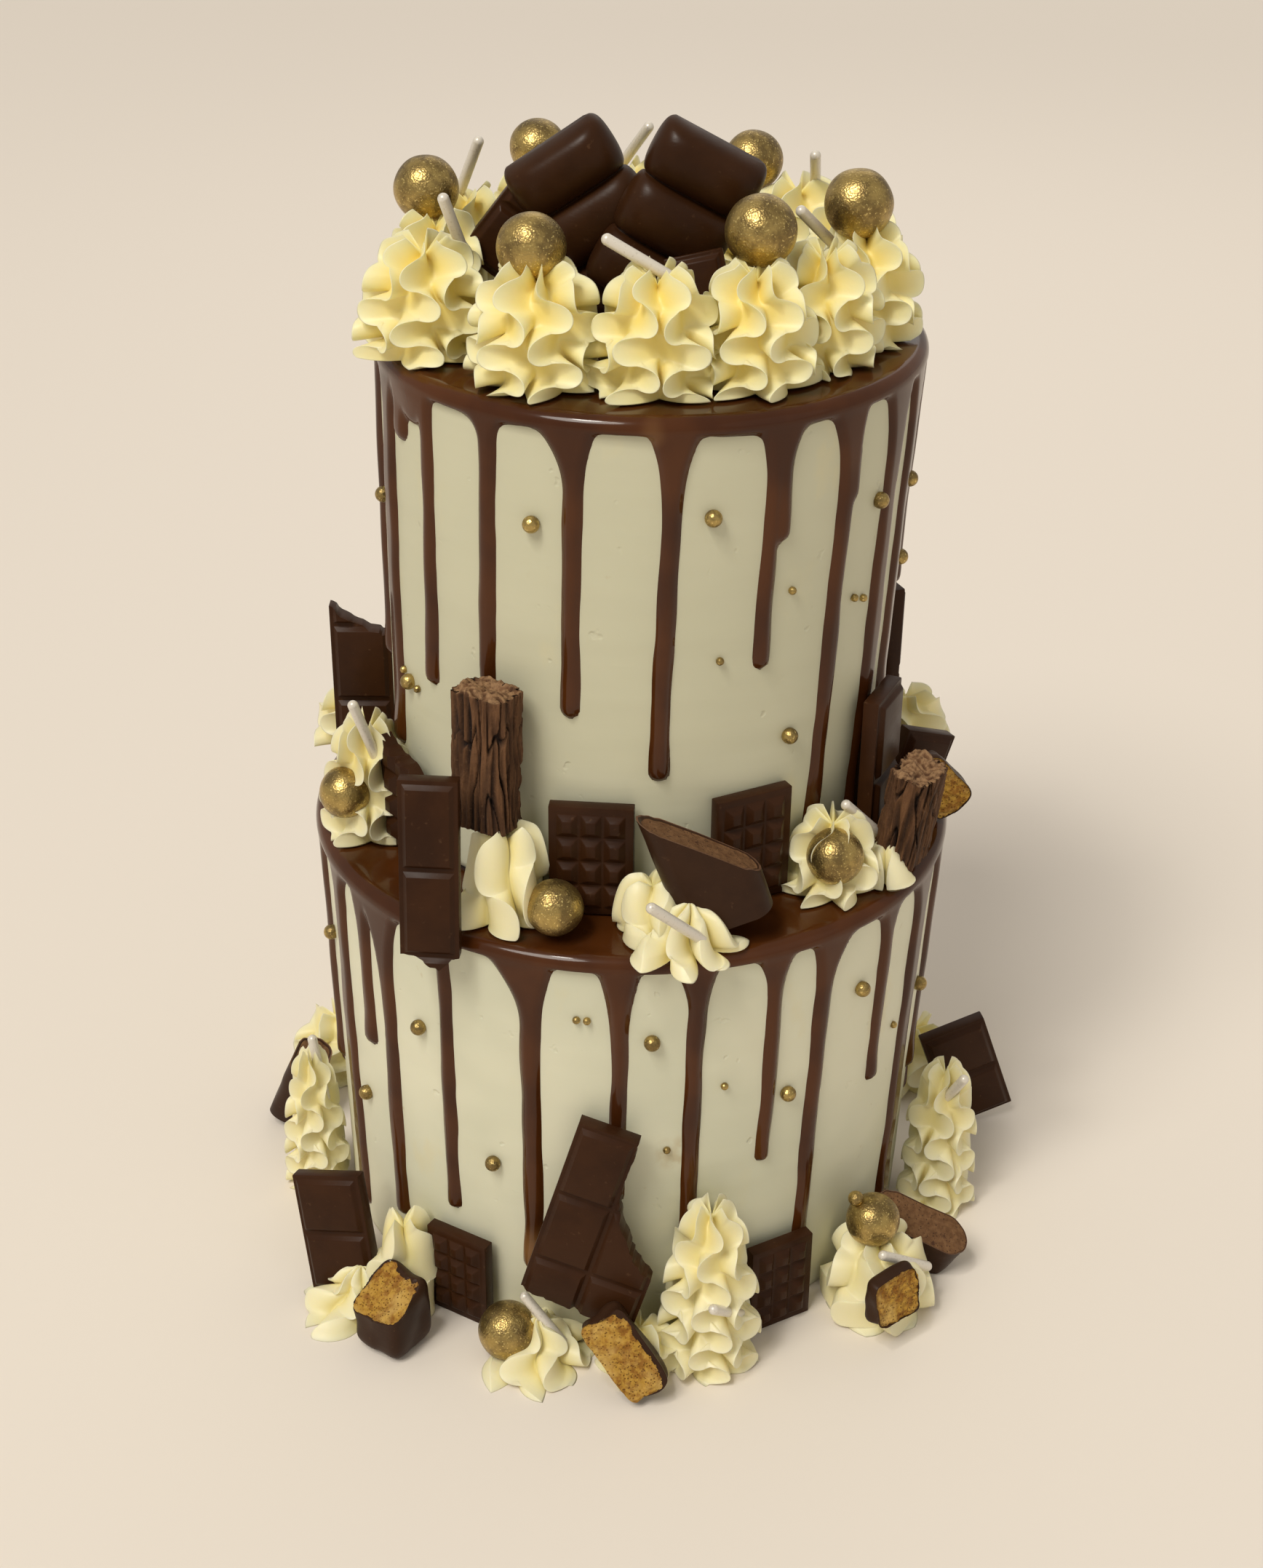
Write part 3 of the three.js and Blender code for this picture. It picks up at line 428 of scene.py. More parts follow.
# Each drip: angle, width, end above the floor, flare to its left and right, and how far the flare runs
LOWER_DRIPS = [
    (-90, 6, 40, 5, 6, 14),
    (-77, 6, 60, 5, 5, 14),
    (-65, 9, 8, 5, 7, 12),
    (-55, 7, 92, 5, 3, 20),
    (-48.4, 7, 24, 11, 7, 30),
    (-33.8, 5.6, 42, 6, 6, 10),
    (-17, 6.8, 25, 16, 6, 26),
    (-1.6, 5.4, 60, 6, 5, 26),
    (11.5, 6, 20, 7, 5, 18),
    (25.6, 5.3, 70, 8, 7, 16),
    (35.7, 6.6, 20, 4, 12, 22),
    (51.6, 6.5, 82, 6, 6, 16),
    (64.7, 10, 12, 7, 6, 18),
    (76.5, 6.5, 58, 5, 5, 14),
    (89, 6, 30, 5, 8, 14),
]
UPPER_DRIPS = [
    (-82, 8, 215, 5, 5, 14),
    (-69.5, 10, 190, 7, 7, 16),
    (-61.5, 9, 302, 5, 5, 14),
    (-56, 13, 310, 6, 4, 8),
    (-51.2, 6.4, 224, 4, 2, 14),
    (-34, 6.6, 232, 12, 6, 10),
    (-14.9, 5.8, 227, 14, 5, 20),
    (4.5, 6, 206, 6, 7, 22),
    (25.5, 5.4, 242, 6, 3, 18),
    (27.6, 6, 284, 3, 6, 16),
    (44.2, 7, 172, 9, 2, 22),
    (45.8, 6, 291, 3, 3, 12),
    (61.5, 9.4, 168, 8, 5, 24),
    (73, 8.5, 205, 5, 5, 22),
    (85.5, 6.5, 240, 5, 5, 14),
]


def draws(seed):
    """The same stream of draws as in the part's source."""
    state = seed
    while True:
        state = (state * 1664525 + 1013904223) % 4294967296
        yield state / 4294967296


def back_drips(start, stop, step, ends, seed):
    draw = draws(seed)
    drips = []
    at = start
    while at <= stop:
        drips.append(
            (
                at + (next(draw) - 0.5) * 4,
                5 + next(draw) * 2.5,
                lerp(ends[0], ends[1], next(draw)),
                4 + next(draw) * 8,
                4 + next(draw) * 8,
                10 + next(draw) * 14,
            )
        )
        at += step
    return drips


def back_pearls(start, step, count, tier, seed):
    draw = draws(seed)
    low = tier["z0"] + PEARL_ROOM[0]
    high = tier["z1"] - PEARL_ROOM[1]
    return [(start + i * step, lerp(low, high, next(draw)), PEARL) for i in range(count)]


LOWER_DRIPS += back_drips(103, 260, 17.3, (12, 95), 5)
UPPER_DRIPS += back_drips(101, 264, 20, (190, 285), 11)
RIM_STEPS = 9
ROW = 1.35
FLAT_ROW = 3.4
DIVE = -0.8
FILM = 1.75
FILM_LIMIT = 2.0
FILM_BACKING = 1.2
MEETING = 3.0
HEM = 4.4
HEM_WAVE = 1.2
FLARE_RUN = 1.25
RIPPLE = 0.22
GLAZE_MIDDLE = 0.5
LEDGE_GLAZE_INNER = 78.0
LOWER_COLUMNS = 792
UPPER_COLUMNS = 648


def blended(one, other, reach):
    """A soft maximum, which rounds the corners where two runs meet."""
    near = np.clip(1 - np.abs(one - other) / reach, 0, 1)
    return np.maximum(one, other) + near * near * reach * 0.25


def wavy(values, seed, reach):
    """Slow waves of about plus or minus one, from a few sines."""
    draw = random.Random(seed)
    total = 0
    for k in (1.0, 1.9, 3.1):
        total = total + np.sin(values / reach * k + draw.uniform(0, math.tau)) / k
    return total / 1.6


def closed(degrees):
    """Degrees bent so that what is drawn from them meets itself at the back."""
    return np.degrees(np.sin(np.radians(degrees)))


def glaze_depth(tier, drips, degrees, z):
    """How far inside the glaze's outline each point of the wall is, in millimetres."""
    radius = wall_radius(tier, z)
    below = tier["z1"] - GLAZE - z
    inside = HEM + HEM_WAVE * wavy(closed(degrees), tier["z1"], 13) - below
    swell = np.zeros_like(z)
    for number, (at, wide, end, left, right, drop) in enumerate(drips):
        across = ((degrees - at + 180) % 360 - 180) * rad(1) * radius
        across = across + 0.35 * wavy(z, number * 7 + 1, 14)
        half = wide / 2 * (1 + 0.07 * wavy(z, number * 5 + 2, 9))
        tip = end + half
        taper = np.clip(1 - below / (drop * FLARE_RUN), 0, 1)
        for side, flare in ((-1, left), (1, right)):
            reach = half + flare * taper**2.2
            slope = 2.2 * flare / (drop * FLARE_RUN) * taper**1.2
            run = (reach - np.abs(across)) / np.sqrt(1 + slope**2)
            run = np.where(z < tip, half - np.hypot(across, z - tip), run)
            run = np.where(across * side >= 0, run, -99)
            inside = blended(inside, run, MEETING)
        bead = np.exp(-(((z - tip - 1) / 6) ** 2)) * np.exp(-((across / (half * 1.3)) ** 2))
        swell = np.maximum(swell, bead * 0.5)
    return inside, swell


def glazed(name, tier, drips, columns, inner):
    top = tier["z1"] - GLAZE - GAP
    rim = wall_radius(tier, tier["z1"])
    lowest = min(d[2] for d in drips) - 2
    flat_rows = max(2, round((rim - EDGE - inner) / FLAT_ROW))
    wall_rows = round((top - EDGE - lowest) / ROW)
    wall_start = flat_rows + RIM_STEPS
    rows = wall_start + wall_rows
    row = np.arange(rows + 1)
    rho = np.where(row <= flat_rows, lerp(inner, rim - EDGE, row / flat_rows), rim - EDGE)
    bend = np.clip((row - flat_rows) / RIM_STEPS, 0, 1) * math.pi / 2
    on_side = row > wall_start
    z = np.where(on_side, top - EDGE - (row - wall_start) * ROW, top - EDGE + EDGE * np.cos(bend))
    base = np.where(on_side, wall_radius(tier, z), rho + EDGE * np.sin(bend))
    out = np.sin(bend)
    degrees = np.arange(columns + 1) / columns * 360 - 180
    grid_z, grid_degrees = np.meshgrid(z, degrees)
    inside, swell = glaze_depth(tier, drips, grid_degrees, grid_z)
    full = np.clip(inside / 2.7, 0, 1)
    height = np.where(inside > 0, FILM * np.sin(full * math.pi / 2), np.maximum(inside * 1.05, DIVE))
    height = height + swell * (inside > 0)
    ripple = RIPPLE * wavy(closed(grid_degrees) * 1.3 + grid_z * 0.6, 5, 9)
    on_top = ~on_side[None, :]
    on_top_film = np.minimum(FILM + ripple * 0.6, FILM_LIMIT)
    height = np.where(on_top, on_top_film, height + np.where(inside > 1, ripple, 0))
    rim_film = FILM + 0.25 * np.sin(bend * 2)[None, :] + ripple * 0.6
    height = np.where(on_top & (row > flat_rows)[None, :], rim_film, height)
    mesh = bmesh.new()
    bmesh.ops.create_grid(mesh, x_segments=columns, y_segments=rows, size=0.5)
    buried = []
    for v in mesh.verts:
        i = round((v.co.x + 0.5) * columns)
        j = round((v.co.y + 0.5) * rows)
        h = height[i, j]
        r = base[j] + h * out[j]
        up = z[j] + (h * math.cos(bend[j]) if j <= wall_start else 0)
        angle = rad(degrees[i])
        v.co = (axis_x(tier, z[j]) + r * math.sin(angle), tier["y"] - r * math.cos(angle), up)
        if h <= DIVE + 0.01:
            buried.append(v)
    hidden = set(buried)
    bmesh.ops.delete(mesh, geom=[f for f in mesh.faces if all(v in hidden for v in f.verts)], context="FACES")
    bmesh.ops.remove_doubles(mesh, verts=mesh.verts, dist=0.001)
    bmesh.ops.recalc_face_normals(mesh, faces=mesh.faces)
    if inner == GLAZE_MIDDLE:
        opening = [e for e in mesh.edges if e.is_boundary and e.verts[0].co.z > top]
        bmesh.ops.holes_fill(mesh, edges=opening, sides=0)
    topmost = max(mesh.faces, key=lambda f: f.calc_center_median().z)
    if topmost.normal.z < 0:
        bmesh.ops.reverse_faces(mesh, faces=mesh.faces)
    bmesh.ops.solidify(mesh, geom=mesh.faces[:], thickness=FILM_BACKING)
    return make_piece(name, mesh, [GLAZED], [name.replace("chocolate", "glaze")])


# Pearls

# Each pearl: angle, height above the floor and radius
LOWER_PEARLS = [
    (-73.2, 118, PEARL),
    (-58.4, 67, PEARL),
    (-39.7, 114.5, PEARL),
    (-24.5, 69, PEARL),
    (-8.9, 134.7, SPECK),
    (-7.1, 134.7, SPECK),
    (3.9, 127, PEARL),
    (7.2, 82, SPECK),
    (17, 106, SPECK),
    (29.5, 96.5, PEARL),
    (45, 127, PEARL),
    (58.5, 98, SPECK),
    (72, 100, PEARL),
    *back_pearls(111.6, 34.6, 5, LOWER, 3),
]
UPPER_PEARLS = [
    (-76, 276, PEARL),
    (-61.5, 218.5, PEARL),
    (-65, 220.5, SPECK),
    (-57.8, 218, SPECK),
    (-23.3, 290.5, PEARL),
    (12.7, 295, PEARL),
    (16.2, 247, SPECK),
    (31.6, 266.8, SPECK),
    (34.2, 215.5, PEARL),
    (50.8, 256, SPECK),
    (54.5, 254, SPECK),
    (56.3, 286.5, PEARL),
    (78, 282, PEARL),
    (79, 254, PEARL),
    *back_pearls(111, 40, 4, UPPER, 8),
]


MOUND_PEARL = (80.5, -85.5, 45.5)


def pearls(name, places):
    mesh = bmesh.new()
    for x, y, z, radius in places:
        bmesh.ops.create_icosphere(mesh, subdivisions=3, radius=radius, matrix=Matrix.Translation((x, y, z)))
    return make_piece(name, mesh, [GOLD])


# Piped cream

OUTLINES = {
    "mound": lambda t: np.maximum(0, 1 - t**2.5) ** 0.6,
    "cone": lambda t: np.maximum(0, 1 - t**3) ** 0.55,
    "star": lambda t: np.maximum(0, 1 - t) ** 0.9,
}
LEAST_REACH = {"mound": 0.26, "cone": 0.14, "star": 0.1}
FOOT = 0.06
LOOP = 0.19


def unrolled(mesh, columns):
    """The height from 0 to 1 and the column of every vertex of a ball."""
    ball = np.array([v.co[:] for v in mesh.verts])
    level = 1 - np.arccos(np.clip(ball[:, 2], -1, 1)) / math.pi
    column = np.round(np.arctan2(ball[:, 1], ball[:, 0]) / math.tau * columns).astype(int) % columns
    height = np.clip((level - FOOT) / (1 - FOOT), 0, 1)
    return height, column, np.minimum(level / FOOT, 1)


def lay(mesh, theta, r, up, shade):
    fold = mesh.verts.layers.float["fold"]
    for v, x, y, z, deep in zip(mesh.verts, r * np.cos(theta), r * np.sin(theta), up, shade):
        v.co = (x, y, max(0, z))
        v[fold] = deep


def piped(
    radius,
    height,
    seed,
    form="mound",
    ribs=8,
    layers=4.7,
    depth=0.42,
    fine=(24, 100),
    crown=0.18,
    swing=0.48,
    plump=0,
):
    """A piped swirl: thin ribs that fold left and right as they rise, and end in points."""
    per, rows = fine
    draw = random.Random(seed)
    phase = np.array([draw.uniform(0, 2) for _ in range(ribs)])
    start = draw.uniform(0, math.tau)
    mesh = bmesh.new()
    mesh.verts.layers.float.new("fold")
    bmesh.ops.create_uvsphere(mesh, u_segments=ribs * per, v_segments=rows, radius=1)
    t, column, spread = unrolled(mesh, ribs * per)
    rib = column // per
    across = (column % per) / per * 2 - 1
    across = np.sign(across) * np.abs(across) ** 1.6
    off = np.abs(across)
    beside = (rib + np.where(across < 0, -1, 1)) % ribs
    own = np.sin(math.pi * (layers * t + phase[rib]))
    other = np.sin(math.pi * (layers * t + phase[beside]))
    sway = own + (other - own) * off / 2
    reach = swing * lerp(1, 0.45, off) * (1 - 0.6 * t**5)
    theta = start + math.tau / ribs * (rib + 0.5 + 0.5 * across + reach * sway)
    loop = np.sin(math.tau * (layers * t + phase[rib]))
    loop = loop + np.sin(math.tau * (layers * t + phase[beside])) * off / 2
    thin = (1 - off) ** lerp(1.1, 2.2, np.clip(t / 0.22, 0, 1))
    blade = lerp(thin, (1 - off**2.2) ** 0.8, plump)
    body = OUTLINES[form](t)
    edge = lerp(LEAST_REACH[form], 1, body) * (0.82 + 0.18 * np.abs(own))
    root = (1 - depth) * body
    r = root + np.maximum(0, edge - root) * blade
    # shade: painted shade, 0 on a rib's edge and 1 deep in the fold between ribs
    shade = np.clip(2.4 * (edge - r) / (edge + 0.2), 0, 1)
    r = r * (1 + 0.03 * np.sin(theta * 2 + start * 3 + t * 5) + 0.02 * np.sin(theta * 5 + t * 11 + start))
    droop = 0.06 * blade * np.sin(math.pi * np.minimum(1, t * 1.15)) if form != "star" else 0
    loop = loop * LOOP / layers * lerp(1, 0.3, off) * np.clip(t * 8, 0, 1) * (1 - t**4)
    up = height * (t * (1 - crown * (1 - blade) * t * t) - droop - loop)
    lay(mesh, theta, radius * r * spread, up, shade)
    return mesh


def rod(start, end):
    along = (Vector(end) - Vector(start)).normalized()
    mesh = bmesh.new()
    bmesh.ops.create_uvsphere(mesh, u_segments=20, v_segments=16, radius=ROD_RADIUS)
    for v in mesh.verts:
        v.co.z += ROD_LENGTH if v.co.z > 0.01 else 0
    mesh.transform(Matrix.Translation((0, 0, -ROD_INSIDE)))
    upright = Vector((0, 0, 1)).rotation_difference(along).to_matrix().to_4x4()
    mesh.transform(Matrix.Translation(start) @ upright)
    return mesh


def add_cream(level, node, swirls, rods=(), group=1):
    """Pipes a node's swirls, a few to a piece, and sticks in its rods."""
    for first in range(0, len(swirls), group):
        whole = bmesh.new()
        for i, (at, r, radius, height, more) in enumerate(swirls[first : first + group]):
            one = piped(radius, height, **{"seed": first + i + len(node), **more})
            one.transform(Matrix.Translation(spot(level, at, r)))
            add_copy(whole, one)
        name = node.replace("cream", "piping") + (f"_{first // group + 1}" if len(swirls) > group else "")
        make_piece(name, whole, [CREAM], [node])
    for i, (start, end) in enumerate(rods):
        stick = rod(start, end)
        stick.transform(Matrix.Translation(LEVELS[level]))
        make_piece(f"{node.replace('cream', 'rod')}_{i + 1}", stick, [PEARLY])


def swirl(at, r, radius, height, **more):
    return at, r, radius, height, more


# Balls


def add_ball(node, seed):
    low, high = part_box(node)
    centre = (low + high) / 2 / MM
    radius = (high.x - low.x) / 2 / MM
    mesh = bmesh.new()
    bmesh.ops.create_icosphere(mesh, subdivisions=5, radius=radius)
    for v in mesh.verts:
        v.co *= 1 + 0.02 * (noise.noise(v.co / 7 + Vector((seed * 5, 0, 0))) - 0.5)
    mesh.transform(Matrix.Translation(centre))
    return make_piece(node.replace("ball", "gold_ball"), mesh, [GOLD], [node])


# Moulded chocolate


def moulded(across, up, cell_wide, cell_tall, thick, lift, groove, slope, border):
    """A moulded bar: a grid of cells is inset and raised, and given a rim, sides and a back."""
    mesh = bmesh.new()
    bmesh.ops.create_grid(mesh, x_segments=across, y_segments=up, size=0.5)
    wide = across * cell_wide
    tall = up * cell_tall
    mesh.transform(Matrix.Diagonal((wide, tall, 1, 1)))
    mesh.transform(Matrix.Rotation(rad(90), 4, "X"))
    cells = mesh.faces[:]
    for reach in (border, 0.0):
        edges = [e for e in mesh.edges if e.is_boundary]
        made = bmesh.ops.extrude_edge_only(mesh, edges=edges)["geom"]
        for v in (g for g in made if isinstance(g, bmesh.types.BMVert)):
            if reach:
                v.co.x += reach * math.copysign(abs(v.co.x) > wide / 2 - 0.01, v.co.x)
                v.co.z += reach * math.copysign(abs(v.co.z) > tall / 2 - 0.01, v.co.z)
            else:
                v.co.y += thick
    bmesh.ops.holes_fill(mesh, edges=[e for e in mesh.edges if e.is_boundary], sides=0)
    bmesh.ops.recalc_face_normals(mesh, faces=mesh.faces)
    bmesh.ops.inset_individual(mesh, faces=cells, thickness=groove / 2, depth=0, use_even_offset=True)
    bmesh.ops.inset_individual(mesh, faces=cells, thickness=slope, depth=lift, use_even_offset=True)
    mesh.transform(Matrix.Translation((0, -thick / 2, tall / 2 + border)))
    return mesh


def soften(mesh, width):
    """Rounds every edge that turns by more than a few degrees."""
    edges = [e for e in mesh.edges if len(e.link_faces) == 2 and e.calc_face_angle() > rad(12)]
    finish = {"affect": "EDGES", "segments": 2, "profile": 0.5, "material": -1, "clamp_overlap": True}
    bmesh.ops.bevel(mesh, geom=edges, offset=width, **finish)


def mini_bar(size=1.0):
    wide = MINI["wide"] * size
    tall = MINI["tall"] * size
    cell_wide = (wide - 2 * MINI["border"]) / MINI["across"]
    cell_tall = (tall - 2 * MINI["border"]) / MINI["up"]
    thick = MINI["thick"] - MINI["raise"]
    groove, slope = MINI["groove"], MINI["slope"] * size
    return moulded(
        MINI["across"], MINI["up"], cell_wide, cell_tall, thick, MINI["raise"], groove, slope, MINI["border"]
    )


def slab(across, up, cell_wide, cell_tall):
    raised, groove, slope, border = (SLAB[k] for k in ("raise", "groove", "slope", "border"))
    return moulded(across, up, cell_wide, cell_tall, SLAB["thick"] - raised, raised, groove, slope, border)


BREAK_STEP = 1.6
BREAK_ROUGH = 0.35


def broken(mesh, outline):
    """Keeps what lies inside an outline drawn on the face, with a rough broken edge."""
    draw = random.Random(len(outline))
    cutter = bmesh.new()
    points = []
    for (x0, z0), (x1, z1) in zip(outline, outline[1:] + outline[:1]):
        steps = max(1, round(math.hypot(x1 - x0, z1 - z0) / BREAK_STEP))
        for i in range(steps):
            t = i / steps
            rough = 0.0 if i == 0 else draw.uniform(-BREAK_ROUGH, BREAK_ROUGH)
            points.append((lerp(x0, x1, t) + rough, lerp(z0, z1, t) + rough))
    face = cutter.faces.new([cutter.verts.new((x, -20, z)) for x, z in points])
    made = bmesh.ops.extrude_face_region(cutter, geom=[face])["geom"]
    bmesh.ops.translate(cutter, verts=[g for g in made if isinstance(g, bmesh.types.BMVert)], vec=(0, 40, 0))
    bmesh.ops.recalc_face_normals(cutter, faces=cutter.faces)
    objects = []
    for bm in (mesh, cutter):
        data = bpy.data.meshes.new("cut")
        bm.to_mesh(data)
        bm.free()
        objects.append(bpy.data.objects.new("cut", data))
        bpy.context.scene.collection.objects.link(objects[-1])
    cut = objects[0].modifiers.new("cut", "BOOLEAN")
    cut.operation = "INTERSECT"
    cut.solver = "EXACT"
    cut.object = objects[1]
    bpy.context.view_layer.update()
    result = bmesh.new()
    result.from_object(objects[0], bpy.context.evaluated_depsgraph_get())
    for obj in objects:
        data = obj.data
        bpy.data.objects.remove(obj)
        bpy.data.meshes.remove(data)
    return result


def add_bar(level, node, mesh, look=None, soft=0.45, **place):
    soften(mesh, soft)
    stand(mesh, level, **place)
    return sharpen(make_piece(node + "_chocolate", mesh, [look or DARK], [node]), 40)


def lobed_bar():
    """A bar of plump lobes side by side, its section a pillow that swells and narrows along it."""
    lobes, pitch, long, thick, back = (LOBED[k] for k in ("lobes", "pitch", "long", "thick", "back"))
    side = lobes * pitch / 2
    mesh = bmesh.new()
    bmesh.ops.create_uvsphere(mesh, u_segments=112, v_segments=144, radius=1)
    for v in mesh.verts:
        level = 1 - 2 * math.acos(max(-1, min(1, v.co.z))) / math.pi
        angle = math.atan2(v.co.y, v.co.x)
        z = side * level
        lobe = (z + side) / pitch
        part = min(0.9999, lobe - math.floor(min(lobe, lobes - 0.0001)))
        dome = max(0.0, 1 - abs(2 * part - 1) ** 2.3) ** 0.46
        inner = 0.5 < lobe < lobes - 0.5
        depth = lerp(back + (2.2 if inner else 0), thick, dome)
        half = long / 2 * lerp(0.86, 1.0, dome)
        close = max(0.0, 1 - abs(level) ** 26) ** 0.5
        c, s = math.cos(angle), math.sin(angle)
        x = half * math.copysign(abs(c) ** 0.55, c)
        y = -depth * abs(s) ** 0.75 if s > 0 else 0.15 * back * abs(s) ** 0.5
        v.co = (x * lerp(0.86, 1, close), y * close, z)
    return mesh


def add_lobed(node, **place):
    mesh = lobed_bar()
    stand(mesh, "top", **place)
    return make_piece(node + "_chocolate", mesh, [LOBES], [node])


# Flakes, mousse bars and honeycomb


FLAKE_HALF = (9.8, 7.3)


def add_flake(node, tall, seed, **place):
    """A stick of thin upright folds with creases between them, darkened by painted shade, broken off at its
    ends.
    """
    mesh = bmesh.new()
    fold = mesh.verts.layers.float.new("fold")
    bmesh.ops.create_uvsphere(mesh, u_segments=216, v_segments=120, radius=1)
    shift = Vector((seed * 3.7, seed * 1.3, 0))
    cap = 0.14
    for v in mesh.verts:
        level = 1 - math.acos(max(-1, min(1, v.co.z))) / math.pi
        theta = math.atan2(v.co.y, v.co.x)
        t = min(1, max(0, (level - cap) / (1 - 2 * cap)))
        spread = min(1, level / cap, (1 - level) / cap)
        reach = min(1 / max(abs(math.cos(theta)), abs(math.sin(theta))), 1.2)
        x = FLAKE_HALF[0] * reach * math.cos(theta)
        y = FLAKE_HALF[1] * reach * math.sin(theta)
        drift = 1.4 * noise.noise(shift + Vector((x / 9, y / 9, t * 2.2)))
        bent = shift + Vector((x + drift, y + drift, 0))
        leaf = 1 - abs(noise.noise(Vector((bent.x / 1.9, bent.y / 1.9, t * 1.3)))) * 3
        fine = noise.noise(Vector((bent.x / 0.9, bent.y / 0.9, t * 4)))
        line = abs(noise.noise(Vector((bent.x / 3.1, bent.y / 3.1, t * 1.6 + 7))))
        crease = max(0, 1 - line / 0.075)
        into = 0.9 * (leaf - 0.5) + 0.35 * fine - 2.1 * crease
        grow = spread * (1 + min(0.4, into) / 10) if spread > 0.999 else spread * (1 + 0.02 * fine)
        rough = noise.noise(Vector((x * spread / 1.6, y * spread / 1.6, seed))) * 0.9
        ledge = noise.noise(Vector((x * spread / 6, y * spread / 6, seed + 2))) * 2.8
        z = tall * t + (rough + ledge if level > 1 - cap else rough * 0.5 if level < cap else 0)
        v.co = (x * grow, y * grow, z)
        # fold: painted shade, up to 1 in the creases and low between leaves; negative on the broken ends
        v[fold] = min(1, crease + max(0, 0.45 - leaf * 0.6)) if spread > 0.999 else -0.4 - rough
    stand(mesh, "ledge", **place)
    return make_piece(node + "_stick", mesh, [FLAKED], [node])


def add_mousse(level, node, wide, thick, tall, narrow=0.72, slant=0, rim=0.55, **place):
    """A wedge of mousse in a chocolate shell, its cut face up."""
    mesh = bmesh.new()
    ends = {"radius1": thick / 2, "radius2": thick / 2, "depth": tall}
    bmesh.ops.create_cone(mesh, cap_ends=True, cap_tris=False, segments=72, **ends)
    upright = [e for e in mesh.edges if abs(e.verts[0].co.z - e.verts[1].co.z) > 1]
    bmesh.ops.subdivide_edges(mesh, edges=upright, cuts=11)
    mesh.transform(Matrix.Translation((0, 0, tall / 2)))
    for v in mesh.verts:
        v.co.x += math.copysign((wide - thick) / 2, v.co.x) if abs(v.co.x) > 0.01 else 0
    cut = max(mesh.faces, key=lambda f: f.calc_center_median().z)
    bmesh.ops.inset_region(mesh, faces=[cut], thickness=rim, depth=0, use_even_offset=True)
    bmesh.ops.inset_region(mesh, faces=[cut], thickness=rim, depth=-rim, use_even_offset=True)
    for _ in range(7):
        bmesh.ops.inset_region(mesh, faces=[cut], thickness=thick / 19, depth=0, use_even_offset=True)
    for f in mesh.faces:
        up = f.calc_center_median().z
        if f.normal.z >= 0.8:
            f.material_index = 1 if up < tall - 0.7 * rim else 2 if up > tall - 0.3 * rim else 0
    for v in mesh.verts:
        t = v.co.z / tall
        v.co.x *= lerp(narrow, 1, max(0, t) ** 0.7)
        v.co.y *= lerp(1.15, 1, t)
        v.co.z += slant * t * v.co.x / wide
        lump = noise.noise(v.co / 8 + Vector((wide, 0, 0)))
        v.co += Vector((v.co.x * 0.012, v.co.y * 0.05, 0)) * lump
        if t > 0.9:
            v.co.z += 0.6 * noise.noise(v.co / 2.5)
    stand(mesh, level, **place)
    return sharpen(make_piece(node + "_bar", mesh, [SHELL, MOUSSE, EDGES], [node]), 50)


def add_honeycomb(level, node, size, seed, face, reach, square=5, rim=0, **place):
    """A rounded block of golden toffee in chocolate, with one side broken off flat and bare."""
    mesh = bmesh.new()
    bmesh.ops.create_cube(mesh, size=2)
    bmesh.ops.subdivide_edges(mesh, edges=mesh.edges[:], cuts=43, use_grid_fill=True)
    out = Vector(face).normalized()
    half = Vector(size) / 2
    bare = set()
    for v in mesh.verts:
        c = v.co.copy()
        c /= sum(abs(part) ** square for part in c) ** (1 / square)
        c *= 1 - 0.05 + 0.09 * noise.noise(c * 1.2 + Vector((seed, seed * 2, 0)))
        over = c.dot(out) - reach - 0.05 * noise.noise(c * 2.2 + Vector((0, seed, 0)))
        if over > 0:
            c -= out * over
        if over > 0.03 + rim * c.x + 0.10 * noise.noise(c * 5 + Vector((0, 0, seed))):
            bare.add(v)
        v.co = (c.x * half.x, c.y * half.y, (c.z + 1) * half.z)
    for f in mesh.faces:
        f.material_index = 0 if all(v in bare for v in f.verts) else 1
    inward = Vector((out.x / half.x, out.y / half.y, out.z / half.z)).normalized()
    for v in bare:
        pitted = 0.55 * noise.noise(v.co / 1.3) + 0.5 * noise.noise(v.co / 4 + Vector((seed, 0, 0)))
        v.co -= inward * (0.75 + pitted)
    stand(mesh, level, **place)
    return make_piece(node + "_toffee", mesh, [HONEYCOMB, SHELL], [node])


# The cake

frosted_wall("lower_frosting", LOWER)
frosted_wall("upper_frosting", UPPER)
glazed("lower_chocolate", LOWER, LOWER_DRIPS, LOWER_COLUMNS, LEDGE_GLAZE_INNER)
glazed("upper_chocolate", UPPER, UPPER_DRIPS, UPPER_COLUMNS, GLAZE_MIDDLE)
for name, tier, places in (("lower_pearls", LOWER, LOWER_PEARLS), ("upper_pearls", UPPER, UPPER_PEARLS)):
    pearls(name, [(*on_wall(tier, at, z, radius * PEARL_PROUD), radius) for at, z, radius in places])
pearls("mound_pearl", [(*MOUND_PEARL, PEARL)])

SLAB_TOP_BREAK = [(-12, -1), (12, -1), (12, 53), (2, 56.5), (-5, 60.5), (-12, 66)]
MINI_TOP_BREAK = [(-16, -1), (16, -1), (16, 26), (9, 29), (2, 34), (-6, 35), (-12, 38), (-16, 41)]
SLAB_FOOT_BREAK = [(-1, 27), (3, 25), (7, 28.6), (12, 29.6), (12, 90), (-12, 90), (-12, 29.8), (-5, 29.2)]
SLAB_SIDE_BREAK = [(-23, 14), (23, 11), (23, 31), (13, 39), (5, 50), (0.8, 60), (0.4, 86), (-23, 86)]
SLAB_TALL = (21.6, 28.5)
SLAB_SMALL = (24.5, 21.5)

